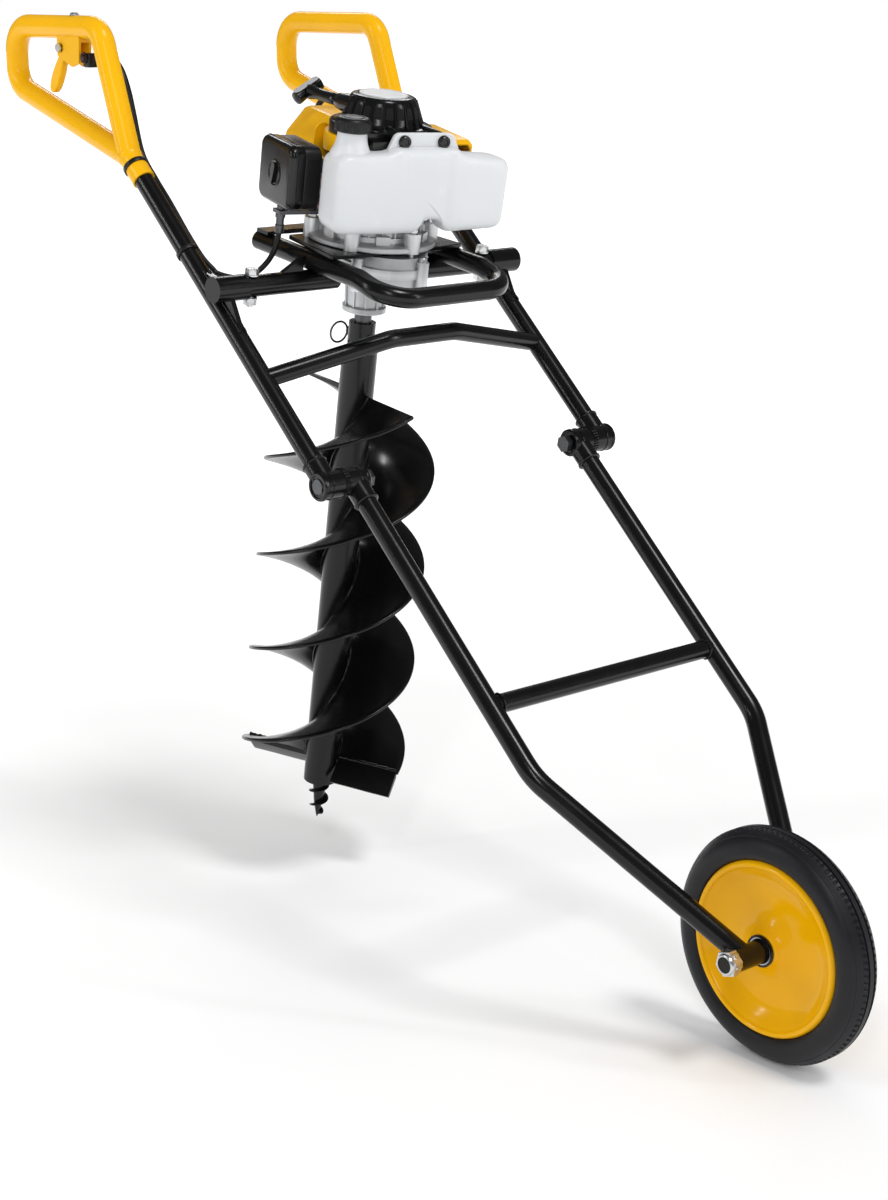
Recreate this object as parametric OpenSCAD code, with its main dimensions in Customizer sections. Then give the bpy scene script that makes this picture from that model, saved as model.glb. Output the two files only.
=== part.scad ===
// Earth auger on a folding push trolley with one wheel.
// Millimetres. +X is forward (towards the wheel), +Y is the operator's left, +Z is up, the ground is z = 0.
// The rest pose is ready to dig: the trolley stands on its wheel, held by the grips. The auger hangs free.

/* [Trolley] */
// Slope of the side tubes
frame_pitch = 42.4; // [35:0.1:50]
// Half distance between the upper side tubes
upper_half_w = 198.5; // [180:0.5:220]
// Outer diameter of the side tubes
tube_od = 22; // [18:0.5:26]
// Wall of the side tubes
tube_wall = 1.5; // [1:0.1:3]
// Hinge to the foot of the grip, along the tube
tube_top_s = 436; // [400:1:480]
// How far the upper tube goes up into the grip's spigot
spigot_fit = 28; // [15:1:32]
// Hinge to the pivot of the power head, along the tube
pivot_s = 252; // [220:1:290]
// Hinge to the upper crossbar
upper_bar_s = 145; // [120:1:170]
// Rise of the arch in the upper crossbar
upper_bar_bow = 43; // [20:1:55]
// Half length of the level part of the arch
upper_bar_flat = 45; // [30:1:70]
// Hinge to the lower crossbar
lower_bar_s = 292; // [200:1:330]
// Hinge to the bend of the lower tubes
bend_s = 380; // [340:1:420]
// Bend radius of the lower tubes
bend_r = 70; // [40:1:90]
// Hinge to the wheel axle
axle_s = 625; // [590:1:660]
// Diameter of the crossbars
bar_od = 20; // [16:0.5:21]

/* [Grips] */
// Diameter of the grip tube
grip_od = 26; // [24:0.5:30]
// Wall of the grip tube
grip_wall = 2; // [1.5:0.1:3]
// Hinge to the point where the grip's legs meet
grip_apex_s = 472; // [465:1:500]
// Length of the front leg
grip_front_leg = 148; // [130:1:170]
// Angle of the front leg from the side tube
grip_front_angle = 27.4; // [20:0.1:34]
// Length of the top bar, corner to corner
grip_top_len = 180; // [165:1:200]
// Length of the rear bar, corner to corner
grip_rear_len = 68; // [62:1:80]
// Bend radius at the front corner
grip_front_r = 28; // [20:1:34]
// Bend radius at the rear corners
grip_rear_r = 30; // [20:1:32]

/* [Fold hinge] */
// Radius of the knuckles
knuckle_r = 15; // [14:0.5:18]
// Middle of the tube to the face where the knuckles meet
knuckle_face = 17.5; // [16:0.5:20]
// Middle of the tube to a knuckle's free face
knuckle_free = 12; // [11.5:0.5:16]
// Length of a knuckle's collar on its tube
collar_len = 14; // [12:1:26]
// Wall of the collar
collar_wall = 1.8; // [1.5:0.1:3]
// Diameter of the hinge bolt
hinge_bolt_d = 10; // [8:0.5:12]

/* [Wheel] */
// Tyre diameter
tyre_d = 244; // [225:1:260]
// Tyre width
tyre_w = 44; // [40:0.5:48]
// Rim diameter, where the tyre sits
rim_d = 182; // [170:1:190]
// Thickness of the rim's pressed sheet
rim_sheet = 2; // [1.5:0.1:3]
// Hub diameter
hub_d = 34; // [30:0.5:38]
// Outer diameter of the wheel bearings
bearing_d = 28; // [24:0.5:29]
// Axle diameter
axle_d = 16; // [12:0.5:18]
// Inner face of the fork sleeves from the middle
fork_in = 27; // [26:0.5:32]
// Length of a fork sleeve
fork_len = 36; // [30:0.5:42]
// Diameter of a fork sleeve
fork_od = 24; // [22:0.5:27]

/* [Power head frame] */
// Backward lean of the auger's foot in the rest pose
pod_tilt = 9; // [0:0.5:14]
// Turn of the engine on its plate
engine_yaw = 12; // [0:0.5:15]
// Pivot ahead of the auger axis
pivot_fwd = 6; // [0:0.5:10]
// Diameter of the pivot stubs
stub_od = 24; // [20:0.5:26]
// Wall of the pivot stubs
stub_wall = 2.5; // [2:0.1:4]
// Inner end of the stubs from the middle
stub_in = 51; // [50:0.5:60]
// Wall of the pivot sleeves
sleeve_wall = 2; // [1.5:0.1:3]
// Inner end of the pivot sleeves from the middle
sleeve_in = 176; // [172:0.5:180]
// Length of a pivot sleeve
sleeve_len = 38; // [34:0.5:44]
// Thickness of a sleeve's end cap
cap_t = 4; // [2:0.5:6]
// Half distance between the beams of the guard tube
guard_half_w = 88; // [84:0.5:94]
// Diameter of the guard tube
guard_od = 22; // [18:0.5:24]
// Wall of the guard tube
guard_wall = 1.5; // [1:0.1:3]
// Auger axis to the guard's front bar
guard_front = 146; // [125:1:160]
// Auger axis to the back ends of the beams
guard_back = 88; // [75:1:100]
// Bend radius of the guard's front corners
guard_r = 38; // [30:1:46]
// How far the guard's front bar hangs below its beams
guard_drop = 10; // [0:1:12]
// Thickness of the mounting plate
plate_t = 5; // [3:0.5:6]
// Half length of the mounting plate
plate_half_l = 75; // [72:0.5:80]
// Half width of the mounting plate
plate_half_w = 76; // [74:0.5:82]

/* [Gearbox] */
// Distance between the gear axes
gear_c = 33; // [33:0.5:36]
// Teeth of the clutch pinion
z_pinion = 11; // [11:1:11]
// Teeth of the idler's wheel
z_wheel = 55; // [55:1:55]
// Teeth of the idler's pinion
z_small = 11; // [11:1:11]
// Teeth of the output gear
z_out = 33; // [33:1:33]
// Radius of the case round the auger axis
case_r = 42; // [40:0.5:46]
// Wall of the case
case_wall = 4; // [3:0.25:6]
// Height of the case below the pivot
case_low = 4; // [2:0.5:8]
// Joint between case and cover above the pivot
case_split = 16; // [12:0.5:18]
// Length of the output nose
nose_len = 40; // [36:1:46]
// Radius of the nose at the case
nose_r1 = 24; // [23:0.5:27]
// Radius of the nose at its end
nose_r2 = 21; // [20.5:0.5:23]
// Output shaft diameter
shaft_d = 20; // [16:0.5:22]

/* [Engine] */
// Height of the clutch housing
clutch_h = 38; // [34:0.5:44]
// Radius of the clutch housing
clutch_r = 58; // [54:0.5:62]
// Radius of the clutch drum
drum_r = 42; // [36:0.5:44]
// Height of the crankcase
crankcase_h = 58; // [54:0.5:64]
// Radius of the crankcase
crankcase_r = 38; // [36:0.5:42]
// Cylinder bore
bore_d = 44; // [40:0.5:46]
// Stroke
stroke = 34; // [30:0.5:36]
// Piston pin to crank pin
rod_len = 62; // [58:0.5:66]
// Side of the square cooling fins
fin_side = 76; // [66:1:84]
// Flywheel radius
flywheel_r = 44; // [40:0.5:46]
// Radius of the fan ring of the shroud
fan_ring_r = 62; // [58:0.5:66]
// Sheet thickness of the shroud
shroud_t = 2.5; // [1.5:0.1:3]
// Height of the recoil starter
starter_h = 45; // [42:0.5:48]
// Radius of the starter at its foot
starter_r1 = 57; // [52:0.5:58]
// Radius of the starter at its top
starter_r2 = 37; // [34:0.5:40]
// Radius of the starter's metal disc
starter_disc_r = 29; // [24:0.5:33]
// Radius of the rope on the starter pulley
pulley_r = 27; // [22:0.5:29]

/* [Tank] */
// Front face of the tank from the auger axis
tank_front = 95; // [88:0.5:104]
// Back face of the tank's wings
tank_back = 42; // [40:0.5:48]
// Width of the tank
tank_w = 212; // [190:1:220]
// Middle of the tank to the left of the engine's middle
tank_shift = 12; // [0:0.5:20]
// Height of the tank's body
tank_h = 81; // [70:0.5:84]
// Tank's floor above the mounting plate
tank_lift = 27; // [25:0.5:32]
// Corner radius of the tank
tank_r = 14; // [8:0.5:20]
// Wall of the tank
tank_wall = 2.5; // [1.5:0.1:4]
// Radius of the filler neck
neck_r = 15; // [14:0.5:17]
// Height of the filler neck
neck_h = 38; // [30:0.5:42]
// Radius of the fuel cap
fuel_cap_r = 19.5; // [18.5:0.5:22]
// Height of the fuel cap
fuel_cap_h = 16; // [14:0.5:20]
// Distance between the tank's ears
ear_pitch = 48; // [40:0.5:56]
// Radius of an ear
ear_r = 10; // [8:0.5:12]

/* [Intake and exhaust] */
// Length of the air filter
filter_l = 78; // [66:1:84]
// Height of the air filter
filter_h = 66; // [58:1:72]
// Depth of the filter cover
filter_cover_d = 18; // [14:0.5:22]
// Depth of the filter base
filter_base_d = 20; // [14:0.5:22]
// Depth of the carburettor
carb_d = 22; // [18:0.5:26]
// Muffler length
muffler_l = 84; // [70:1:90]
// Muffler depth
muffler_d = 48; // [40:1:52]
// Muffler height
muffler_h = 52; // [44:1:56]

/* [Auger] */
// Outer radius of the two flights
flight_r = 100; // [75:1:105]
// Rise of a flight in one turn
flight_lead = 240; // [210:1:250]
// Turns of a flight
flight_turns = 1.925; // [1.7:0.025:1.95]
// Thickness of a flight, measured upwards
flight_t = 4; // [3:0.25:6]
// Diameter of the core tube
core_d = 41; // [36:0.5:46]
// Wall of the core tube
core_wall = 3; // [2:0.25:5]
// Diameter of the coupling on the output shaft
coupling_d = 31; // [28:0.5:34]
// Length of the coupling
coupling_len = 34; // [28:1:40]
// Pivot height to the top of the coupling
coupling_drop = 57; // [54:0.5:62]
// Top of the coupling to the core's foot
auger_len = 581; // [560:1:600]
// Length of the pilot point
pilot_len = 53; // [45:1:60]
// Length of a cutting blade
blade_len = 84; // [76:1:84]
// Height of a cutting blade
blade_h = 35; // [30:1:38]
// Thickness of a cutting blade
blade_t = 6; // [4:0.5:8]
// Coupling pin diameter
pin_d = 6; // [5:0.5:8]

/* [Trigger and cable] */
// Length of the throttle trigger
trigger_len = 50; // [40:1:52]
// Thickness of the throttle trigger
trigger_t = 10; // [8:0.5:12]
// Diameter of the throttle cable
cable_d = 6; // [4:0.5:7]

/* [Fits] */
// Radial running clearance of shafts and pins
run_gap = 0.05; // [0.02:0.01:0.09]
// Gap between bodies that move past each other
move_gap = 0.4; // [0.3:0.05:0.6]
// Gap at a welded or clamped curved seat
weld_gap = 0.1; // [0.05:0.01:0.2]

/* [Hidden] */
$fn = 64;
bend_swell = 0.08;
bend_lap = 1;
// Places along and across the trolley
tube_r = tube_od / 2;
grip_r = grip_od / 2;
bar_r = bar_od / 2;
tyre_r = tyre_d / 2;
rim_r = rim_d / 2;
sleeve_r = stub_od / 2 + run_gap + sleeve_wall;
pivot_n = tube_r + sleeve_r + weld_gap;
hinge_z = tyre_r + axle_s * sin(frame_pitch);
grip_apex = [-grip_apex_s, 0];
grip_c1 = grip_apex + grip_front_leg * [-cos(grip_front_angle), sin(grip_front_angle)];
grip_c2 = grip_c1 + grip_top_len * [-cos(frame_pitch), -sin(frame_pitch)];
grip_c3 = grip_c2 + grip_rear_len * [sin(frame_pitch), -cos(frame_pitch)];
function level_x(p) = p[0] * cos(frame_pitch) + p[1] * sin(frame_pitch);
function level_z(p) = -p[0] * sin(frame_pitch) + p[1] * cos(frame_pitch);
front_reach = axle_s * cos(frame_pitch) + tyre_r;
back_reach = grip_r - level_x(grip_c2);
hinge_x = (back_reach - front_reach) / 2;
pod_x = hinge_x - pivot_s * cos(frame_pitch) + pivot_n * sin(frame_pitch);
pod_z = hinge_z + pivot_s * sin(frame_pitch) + pivot_n * cos(frame_pitch);
stub_r = stub_od / 2;
sleeve_out = sleeve_in + sleeve_len;
// Heights in the power head, from the pivot axis
guard_rad = guard_od / 2;
beam_v = stub_r + guard_rad + weld_gap;
plate_v = beam_v + guard_rad + weld_gap;
clutch_v = plate_v + plate_t;
crankcase_v = clutch_v + clutch_h;
flywheel_v = crankcase_v + crankcase_h;
crank_v = crankcase_v + 34;
flywheel_t = 16;
ring_top = flywheel_v + flywheel_t + 6;
starter_v = ring_top;
rope_v = starter_v + 29;
tank_v = clutch_v + tank_lift;
tank_top = tank_v + tank_h;
ear_v = tank_top + 18;
ear_x = tank_front - 22;
ear_t = 6;
ear_bolt_r = 2.5;
tank_channel = 3;
tank_channel_w = 62;
tank_notch_r = 20;
neck_at = [65, tank_shift - tank_w / 2 + 26];
neck_top = tank_top + neck_h;
// Gears
m_fast = 2 * gear_c / (z_pinion + z_wheel);
m_slow = 2 * gear_c / (z_small + z_out);
gear_low = case_low * -1 + case_wall + 5;
slow_t = 13;
fast_v = gear_low + slow_t + 1.5;
fast_t = 8;
idler_pin_r = 5;
drum_shaft_r = 6;
gear_backlash = 0.14;
// Engine sides
cyl_flange = 48;
cyl_head = cyl_flange + 74;
piston_x = stroke / 2 + rod_len;
shroud_half = fin_side / 2 + 14;
shroud_back = cyl_head + 14;
shroud_top = crank_v + fin_side / 2 + 12;
carb_y = shroud_half + 4;
base_y = carb_y + carb_d;
cover_y = base_y + filter_base_d;
filter_face = cover_y + filter_cover_d;
filter_x = -58;
filter_v = crank_v - 34;
carb_x = -52;
carb_l = 50;
muffler_y = shroud_half + 4;
muffler_x = -80;
muffler_v = crank_v - 24;
// Auger, downwards from the pivot axis
core_top = -coupling_drop - coupling_len;
core_foot = -coupling_drop - auger_len;
flight_foot = core_foot + 31;
flight_steps = 40;
flight_foot_angles = [29, 209];
core_r = core_d / 2;
shaft_r = shaft_d / 2;
// Throttle trigger, from the grip's front corner, level
trigger_at = [-71, -23];
trigger_angle = 31;
trigger_pin_r = 2.5;
cheek_t = 3;
// Points of the throttle cable, level, from the hinge axis and across from the right upper tube
cable_points = [
    [-416.6, 12.5, 424], [-406, 16.5, 424], [-391, 17.5, 414], [-378, 16.9, 396], [-363, 17.3, 358],
    [-349, 17.4, 320], [-322, 16.7, 293], [-295, 15.5, 270], [-262, 14.5, 239], [-236, 15.5, 215],
    [-222, 19.5, 203]];
cable_route = [for (p = cable_points) [p[0], p[1] - upper_half_w, p[2]]];
adjuster_at = [-12, -108];
adjuster_y = adjuster_at[1] * cos(engine_yaw) - adjuster_at[0] * sin(engine_yaw);
// Points of its loop to the power head: the middle number is the part of the way across to the adjuster
loop_points = [
    [-220.4, 0.008, 201.6], [-217.6, 0.02, 199.2], [-214, 0.16, 195], [-211, 0.36, 192.5],
    [-206, 0.605, 197], [-204, 0.816, 209], [-203, 0.947, 224], [-202, 1, 238.5]];
loop_start_y = cable_points[len(cable_points) - 1][1] - upper_half_w;
cable_loop_route = [for (p = loop_points) [p[0], loop_start_y + p[1] * (adjuster_y - loop_start_y), p[2]]];

// Places

module at_hinge() {
    translate([hinge_x, 0, hinge_z]) children();
}

module at_frame() {
    at_hinge() rotate([0, frame_pitch, 0]) children();
}

module at_axle() {
    at_frame() translate([axle_s, 0, 0]) children();
}

module at_grip() {
    at_hinge() translate([level_x(grip_c1), 0, level_z(grip_c1)]) children();
}

module at_pod() {
    translate([pod_x, 0, pod_z]) rotate([0, pod_tilt, 0]) translate([-pivot_fwd, 0, 0]) children();
}

module at_engine() {
    at_pod() rotate([0, 0, -engine_yaw]) children();
}

module both_sides() {
    children();
    mirror([0, 1, 0]) children();
}

// Shared forms

function unit(v) = v / norm(v);

function turn_at(a, b, c) = acos(unit(b - a) * unit(c - b));

function trim_at(pts, radii, i) =
    i == 0 || i == len(pts) - 1 ? 0 : radii[i] * tan(turn_at(pts[i - 1], pts[i], pts[i + 1]) / 2);

module rod(p, q, r) {
    d = q - p;
    translate(p) rotate([0, acos(d[2] / norm(d)), atan2(d[1], d[0])]) cylinder(h = norm(d), r = r);
}

module elbow(a, b, c, bend, r) {
    u = unit(b - a);
    w = unit(c - b);
    t = turn_at(a, b, c);
    n = unit(w - u * (u * w));
    m = b - u * bend * tan(t / 2) + n * bend;
    z = cross(-n, u);
    multmatrix([
        [-n[0], u[0], z[0], m[0]],
        [-n[1], u[1], z[1], m[1]],
        [-n[2], u[2], z[2], m[2]],
        [0, 0, 0, 1]]) rotate_extrude(angle = t) translate([bend, 0]) circle(r = r + bend_swell);
}

// The straight lengths run a little way into the bends, which are a hair thicker
module bent_rod(pts, radii, r) {
    last = len(pts) - 1;
    for (i = [0 : last - 1]) {
        u = unit(pts[i + 1] - pts[i]);
        from = trim_at(pts, radii, i) - (i == 0 ? 0 : bend_lap);
        to = trim_at(pts, radii, i + 1) - (i + 1 == last ? 0 : bend_lap);
        rod(pts[i] + u * from, pts[i + 1] - u * to, r);
    }
    for (i = [1 : last - 1]) elbow(pts[i - 1], pts[i], pts[i + 1], radii[i], r);
}

module along_x(x, h, r) {
    translate([x, 0, 0]) rotate([0, 90, 0]) cylinder(h = h, r = r);
}

module along_y(y, h, r) {
    translate([0, y, 0]) rotate([-90, 0, 0]) cylinder(h = h, r = r);
}

module block(low, high) {
    translate(low) cube(high - low);
}

module hex_y(y, h, across) {
    translate([0, y, 0]) rotate([-90, 0, 0]) cylinder(h = h, r = across / sqrt(3), $fn = 6);
}

module ring(h, r_out, r_in) {
    difference() {
        cylinder(h = h, r = r_out);
        translate([0, 0, -1]) cylinder(h = h + 2, r = r_in);
    }
}

// A block with its four long edges along Y rounded
module soft_block(low, high, r) {
    l = (high[0] - low[0]) / 2 - r;
    h = (high[2] - low[2]) / 2 - r;
    translate([(low[0] + high[0]) / 2, high[1], (low[2] + high[2]) / 2]) rotate([90, 0, 0])
        linear_extrude(high[1] - low[1]) {
            square([2 * l, 2 * h + 2 * r], center = true);
            square([2 * l + 2 * r, 2 * h], center = true);
            for (x = [-l, l], y = [-h, h]) translate([x, y]) circle(r = r);
        }
}

function involute(r, rb) = tan(acos(rb / r)) * 180 / PI - acos(rb / r);

function tooth_half(r, m, z, pa) =
    90 / z - gear_backlash / (m * z) * 180 / PI + tan(pa) * 180 / PI - pa
    - involute(max(r, m * z / 2 * cos(pa)), m * z / 2 * cos(pa));

module gear_outline(m, z) {
    pa = 25;
    foot = m * z / 2 - m;
    tip = m * z / 2 + 0.8 * m;
    start = max(foot, m * z / 2 * cos(pa));
    flank = [for (k = [0 : 4]) start + (tip - start) * k / 4];
    function low(i, r) = 360 / z * i - tooth_half(r, m, z, pa);
    function high(i, r) = 360 / z * i + tooth_half(r, m, z, pa);
    polygon([for (i = [0 : z - 1]) each concat(
        [foot * [cos(low(i, start)), sin(low(i, start))]],
        [for (r = flank) r * [cos(low(i, r)), sin(low(i, r))]],
        [for (k = [4 : -1 : 0]) flank[k] * [cos(high(i, flank[k])), sin(high(i, flank[k]))]],
        [foot * [cos(high(i, start)), sin(high(i, start))]])]);
}

// A round cord swept along its own points, smoothed between them
function spline(a, b, c, d, t) =
    0.5 * (2 * b + (c - a) * t + (2 * a - 5 * b + 4 * c - d) * t * t
        + (3 * b - a - 3 * c + d) * t * t * t);

function smooth_route(pts, n) = concat(
    [for (i = [0 : len(pts) - 2], k = [0 : n - 1]) spline(
        pts[max(i - 1, 0)], pts[i], pts[i + 1], pts[min(i + 2, len(pts) - 1)], k / n)],
    [pts[len(pts) - 1]]);

module cord(pts, r, sides) {
    n = len(pts);
    function way(i) = unit(pts[min(i + 1, n - 1)] - pts[max(i - 1, 0)]);
    function side(i) = unit(cross(way(i), [0.31, 0.05, -0.95]));
    points = [for (i = [0 : n - 1], k = [0 : sides - 1])
        pts[i] + r * (side(i) * cos(360 * k / sides) + cross(way(i), side(i)) * sin(360 * k / sides))];
    skin = [for (i = [0 : n - 2], k = [0 : sides - 1]) each [
        [i * sides + k, (i + 1) * sides + k, (i + 1) * sides + (k + 1) % sides],
        [i * sides + k, (i + 1) * sides + (k + 1) % sides, i * sides + (k + 1) % sides]]];
    ends = concat(
        [for (k = [1 : sides - 2]) [0, k, k + 1]],
        [for (k = [1 : sides - 2]) [(n - 1) * sides, (n - 1) * sides + k + 1, (n - 1) * sides + k]]);
    polyhedron(points = points, faces = concat(skin, ends));
}

// Trolley, upper half

module upper_tube() {
    difference() {
        at_frame() translate([0, -upper_half_w, 0]) difference() {
            along_x(-tube_top_s - spigot_fit, tube_top_s + spigot_fit, tube_r);
            along_x(-tube_top_s - spigot_fit - 1, tube_top_s + spigot_fit + 2, tube_r - tube_wall);
        }
        at_frame() along_y(-upper_half_w - 40, 80, knuckle_r + weld_gap);
    }
}

module right_upper_tube() {
    color("#222222") upper_tube();
}

module left_upper_tube() {
    color("#222222") mirror([0, 1, 0]) upper_tube();
}

module arch(r, over) {
    end = upper_half_w;
    slope = upper_bar_bow / (end - upper_bar_flat);
    bent_rod([
        [-upper_bar_s, -end - over, -over * slope], [-upper_bar_s, -upper_bar_flat, upper_bar_bow],
        [-upper_bar_s, upper_bar_flat, upper_bar_bow], [-upper_bar_s, end + over, -over * slope]],
        [0, 60, 60, 0], r);
}

module upper_crossbar() {
    color("#1c1c1c") at_frame() difference() {
        arch(bar_r, 0);
        arch(bar_r - tube_wall, 5);
        for (y = [-upper_half_w, upper_half_w]) translate([0, y, 0])
            along_x(-upper_bar_s - 60, 120, tube_r + weld_gap);
    }
}

function in_side(p) = [p[0], 0, p[1]];

module handle() {
    bends = [0, grip_front_r, grip_rear_r, grip_rear_r, 0];
    hollow_start = grip_apex + 24 * unit(grip_c1 - grip_apex);
    hollow_end = grip_apex + 24 * unit(grip_c3 - grip_apex);
    at_frame() translate([0, -upper_half_w, 0]) difference() {
        union() {
            bent_rod([for (p = [grip_apex, grip_c1, grip_c2, grip_c3, grip_apex]) in_side(p)],
                bends, grip_r);
            translate(in_side(grip_apex)) sphere(r = grip_r + 1);
            along_x(-grip_apex_s, grip_apex_s - tube_top_s, grip_r);
        }
        bent_rod([for (p = [hollow_start, grip_c1, grip_c2, grip_c3, hollow_end]) in_side(p)],
            bends, grip_r - grip_wall);
        along_x(-tube_top_s - spigot_fit - weld_gap, spigot_fit + weld_gap + 1, tube_r + weld_gap);
    }
}

module right_handle() {
    color("#f2b705") handle();
}

module left_handle() {
    color("#f2b705") mirror([0, 1, 0]) handle();
}

module pivot_sleeve() {
    gusset_t = 6;
    at_frame() difference() {
        union() {
            translate([-pivot_s, 0, pivot_n]) along_y(-sleeve_out, sleeve_len, sleeve_r);
            translate([0, -upper_half_w + gusset_t / 2, 0]) rotate([90, 0, 0]) linear_extrude(gusset_t)
                polygon([
                [-pivot_s - 40, tube_r - 2], [-pivot_s, pivot_n + 4],
                [-pivot_s + 52, tube_r - 2]]);
        }
        translate([-pivot_s, 0, pivot_n]) along_y(-sleeve_out - 1, sleeve_len + 2, stub_r + run_gap);
        translate([0, -upper_half_w, 0]) along_x(-pivot_s - 80, 160, tube_r + weld_gap);
    }
    at_frame() translate([-pivot_s, 0, pivot_n]) along_y(-sleeve_out - cap_t, cap_t, sleeve_r);
}

module pivot_sleeves() {
    color("#202020") both_sides() pivot_sleeve();
}

knuckle_w = knuckle_face + knuckle_free;
upper_knuckle_in = upper_half_w - knuckle_face;
lower_knuckle_in = upper_knuckle_in - move_gap - knuckle_w;
knuckle_tube_y = lower_knuckle_in + knuckle_free;

module knuckle(inner, tube_y, way) {
    at_frame() difference() {
        union() {
            along_y(inner, knuckle_w, knuckle_r);
            translate([0, tube_y, 0]) rotate([0, way, 0]) difference() {
                along_x(0, knuckle_r + collar_len, tube_r + weld_gap + collar_wall);
                along_x(-1, knuckle_r + collar_len + 2, tube_r + weld_gap);
            }
        }
        along_y(inner - 1, knuckle_w + 2, hinge_bolt_d / 2 + run_gap);
    }
}

hinge_recess = 7;
hinge_head = 1.7;

module upper_knuckles() {
    color("#161616") both_sides() mirror([0, 1, 0]) difference() {
        knuckle(upper_knuckle_in, upper_half_w, 180);
        at_frame() hex_y(upper_knuckle_in + knuckle_w - hinge_recess, hinge_recess + 1,
            hinge_head * hinge_bolt_d + 2 * weld_gap);
    }
}

module frame_fasteners() {
    head = upper_knuckle_in + knuckle_w - hinge_recess;
    nut_y = lower_knuckle_in - move_gap - 9.4;
    color("#9a9a98") {
        both_sides() mirror([0, 1, 0]) at_frame() {
            along_y(nut_y, head - nut_y, hinge_bolt_d / 2);
            hex_y(head, hinge_recess - 1, hinge_head * hinge_bolt_d);
            difference() {
                hex_y(nut_y, 8, hinge_head * hinge_bolt_d);
                along_y(nut_y - 1, 10, hinge_bolt_d / 2 + weld_gap);
            }
        }
        at_grip() translate([trigger_at[0], -upper_half_w, trigger_at[1]]) {
            along_y(-trigger_t / 2 - cheek_t - move_gap, trigger_t + 2 * cheek_t + 2 * move_gap,
                trigger_pin_r);
            along_y(-trigger_t / 2 - cheek_t - move_gap - 2, 2, 2 * trigger_pin_r);
        }
    }
}

module trigger_bracket() {
    half = trigger_t / 2 + move_gap;
    back = trigger_at[0] - 7;
    web_low = trigger_at[1] + 6.5;
    color("#e8ac08") at_grip() translate([0, -upper_half_w, 0]) difference() {
        union() {
            block([back, -half - cheek_t, web_low], [-32, half + cheek_t, -grip_r + 3]);
            for (y = [half + cheek_t, -half]) translate([0, y, 0]) rotate([90, 0, 0])
                linear_extrude(cheek_t)
                polygon([[back, web_low + 1], [-32, web_low + 1], [-34, -40], [-48, -44], [back, -32]]);
        }
        along_x(-120, 120, grip_r + weld_gap);
        translate([trigger_at[0], 0, trigger_at[1]]) along_y(-40, 80, trigger_pin_r + run_gap);
    }
}

switch_box = [[-31.9, -6, -44], [-18, 12, -22]];

module switch_housing() {
    color("#141414") at_grip() translate([0, -upper_half_w, 0]) difference() {
        block(switch_box[0], switch_box[1]);
        translate([-26, 0, -33]) along_y(-7, 9, 4 + move_gap);
    }
}

module stop_button() {
    color("#a11a12") at_grip() translate([-26, -upper_half_w, -33]) along_y(-9, 7.5, 4);
}

module throttle_trigger() {
    color("#eeb106") at_grip() translate([trigger_at[0], -upper_half_w + trigger_t / 2, trigger_at[1]])
        rotate([90, 0, 0])
        linear_extrude(trigger_t) difference() {
            union() {
                circle(r = 6);
                rotate(-90 - trigger_angle) {
                    polygon([[0, -5], [0.6 * trigger_len, -7], [trigger_len, -5], [trigger_len, 5],
                        [0.6 * trigger_len, 6], [0, 5]]);
                    translate([trigger_len, 0]) circle(r = 5);
                }
            }
            circle(r = trigger_pin_r + run_gap);
        }
}

module throttle_cable() {
    tie_s = [tube_top_s + 12, 330];
    color("#121212") {
        at_hinge() cord(smooth_route(cable_route, 3), cable_d / 2, 8);
        at_frame() translate([-tie_s[0], -upper_half_w, 0]) rotate([0, 90, 0])
            ring(5, grip_r + weld_gap + 1.5, grip_r + weld_gap);
        at_frame() translate([-tie_s[1], -upper_half_w, 0]) rotate([0, 90, 0])
            ring(5, tube_r + weld_gap + 1.5, tube_r + weld_gap);
    }
}

// Trolley, lower half

module lower_tube() {
    fork_mid = fork_in + fork_len / 2;
    pts = [[0, -knuckle_tube_y, 0], [bend_s, -knuckle_tube_y, 0], [axle_s, -fork_mid, 0]];
    at_frame() difference() {
        bent_rod(pts, [0, bend_r, 0], tube_r);
        bent_rod(pts, [0, bend_r, 0], tube_r - tube_wall);
        along_y(-knuckle_tube_y - 40, 80, knuckle_r + weld_gap);
        translate([axle_s, 0, 0]) along_y(-fork_in - fork_len - 20, fork_len + 40, fork_od / 2 + weld_gap);
        translate([axle_s, 0, 0]) along_y(-fork_in - fork_len - 20, 20 + move_gap, 0.9 * axle_d);
        block([axle_s, -fork_mid - 60, -40], [axle_s + 40, -fork_mid + 60, 40]);
    }
}

module right_lower_tube() {
    color("#222222") lower_tube();
}

module left_lower_tube() {
    color("#222222") mirror([0, 1, 0]) lower_tube();
}

module lower_crossbar() {
    y = knuckle_tube_y;
    color("#1c1c1c") at_frame() difference() {
        translate([lower_bar_s, 0, 0]) along_y(-y, 2 * y, bar_r);
        translate([lower_bar_s, 0, 0]) along_y(-y - 1, 2 * y + 2, bar_r - tube_wall);
        for (k = [-y, y]) translate([0, k, 0]) along_x(lower_bar_s - 60, 120, tube_r + weld_gap);
        for (k = [-y - 40, y]) block([lower_bar_s - 40, k, -40], [lower_bar_s + 40, k + 40, 40]);
    }
}

module lower_knuckles() {
    color("#161616") both_sides() mirror([0, 1, 0]) knuckle(lower_knuckle_in, knuckle_tube_y, 0);
}

module fork_sleeves() {
    color("#1e1e1e") both_sides() at_axle() difference() {
        along_y(-fork_in - fork_len, fork_len, fork_od / 2);
        along_y(-fork_in - fork_len - 1, fork_len + 2, axle_d / 2 + weld_gap);
    }
}

module axle_bolt() {
    half = fork_in + fork_len + 12;
    color("#b9bcbf") at_axle() {
        along_y(-half, 2 * half, axle_d / 2);
        both_sides() difference() {
            hex_y(fork_in + fork_len, 10, 1.5 * axle_d);
            along_y(fork_in + fork_len - 1, 12, axle_d / 2 + weld_gap);
        }
    }
}

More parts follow.
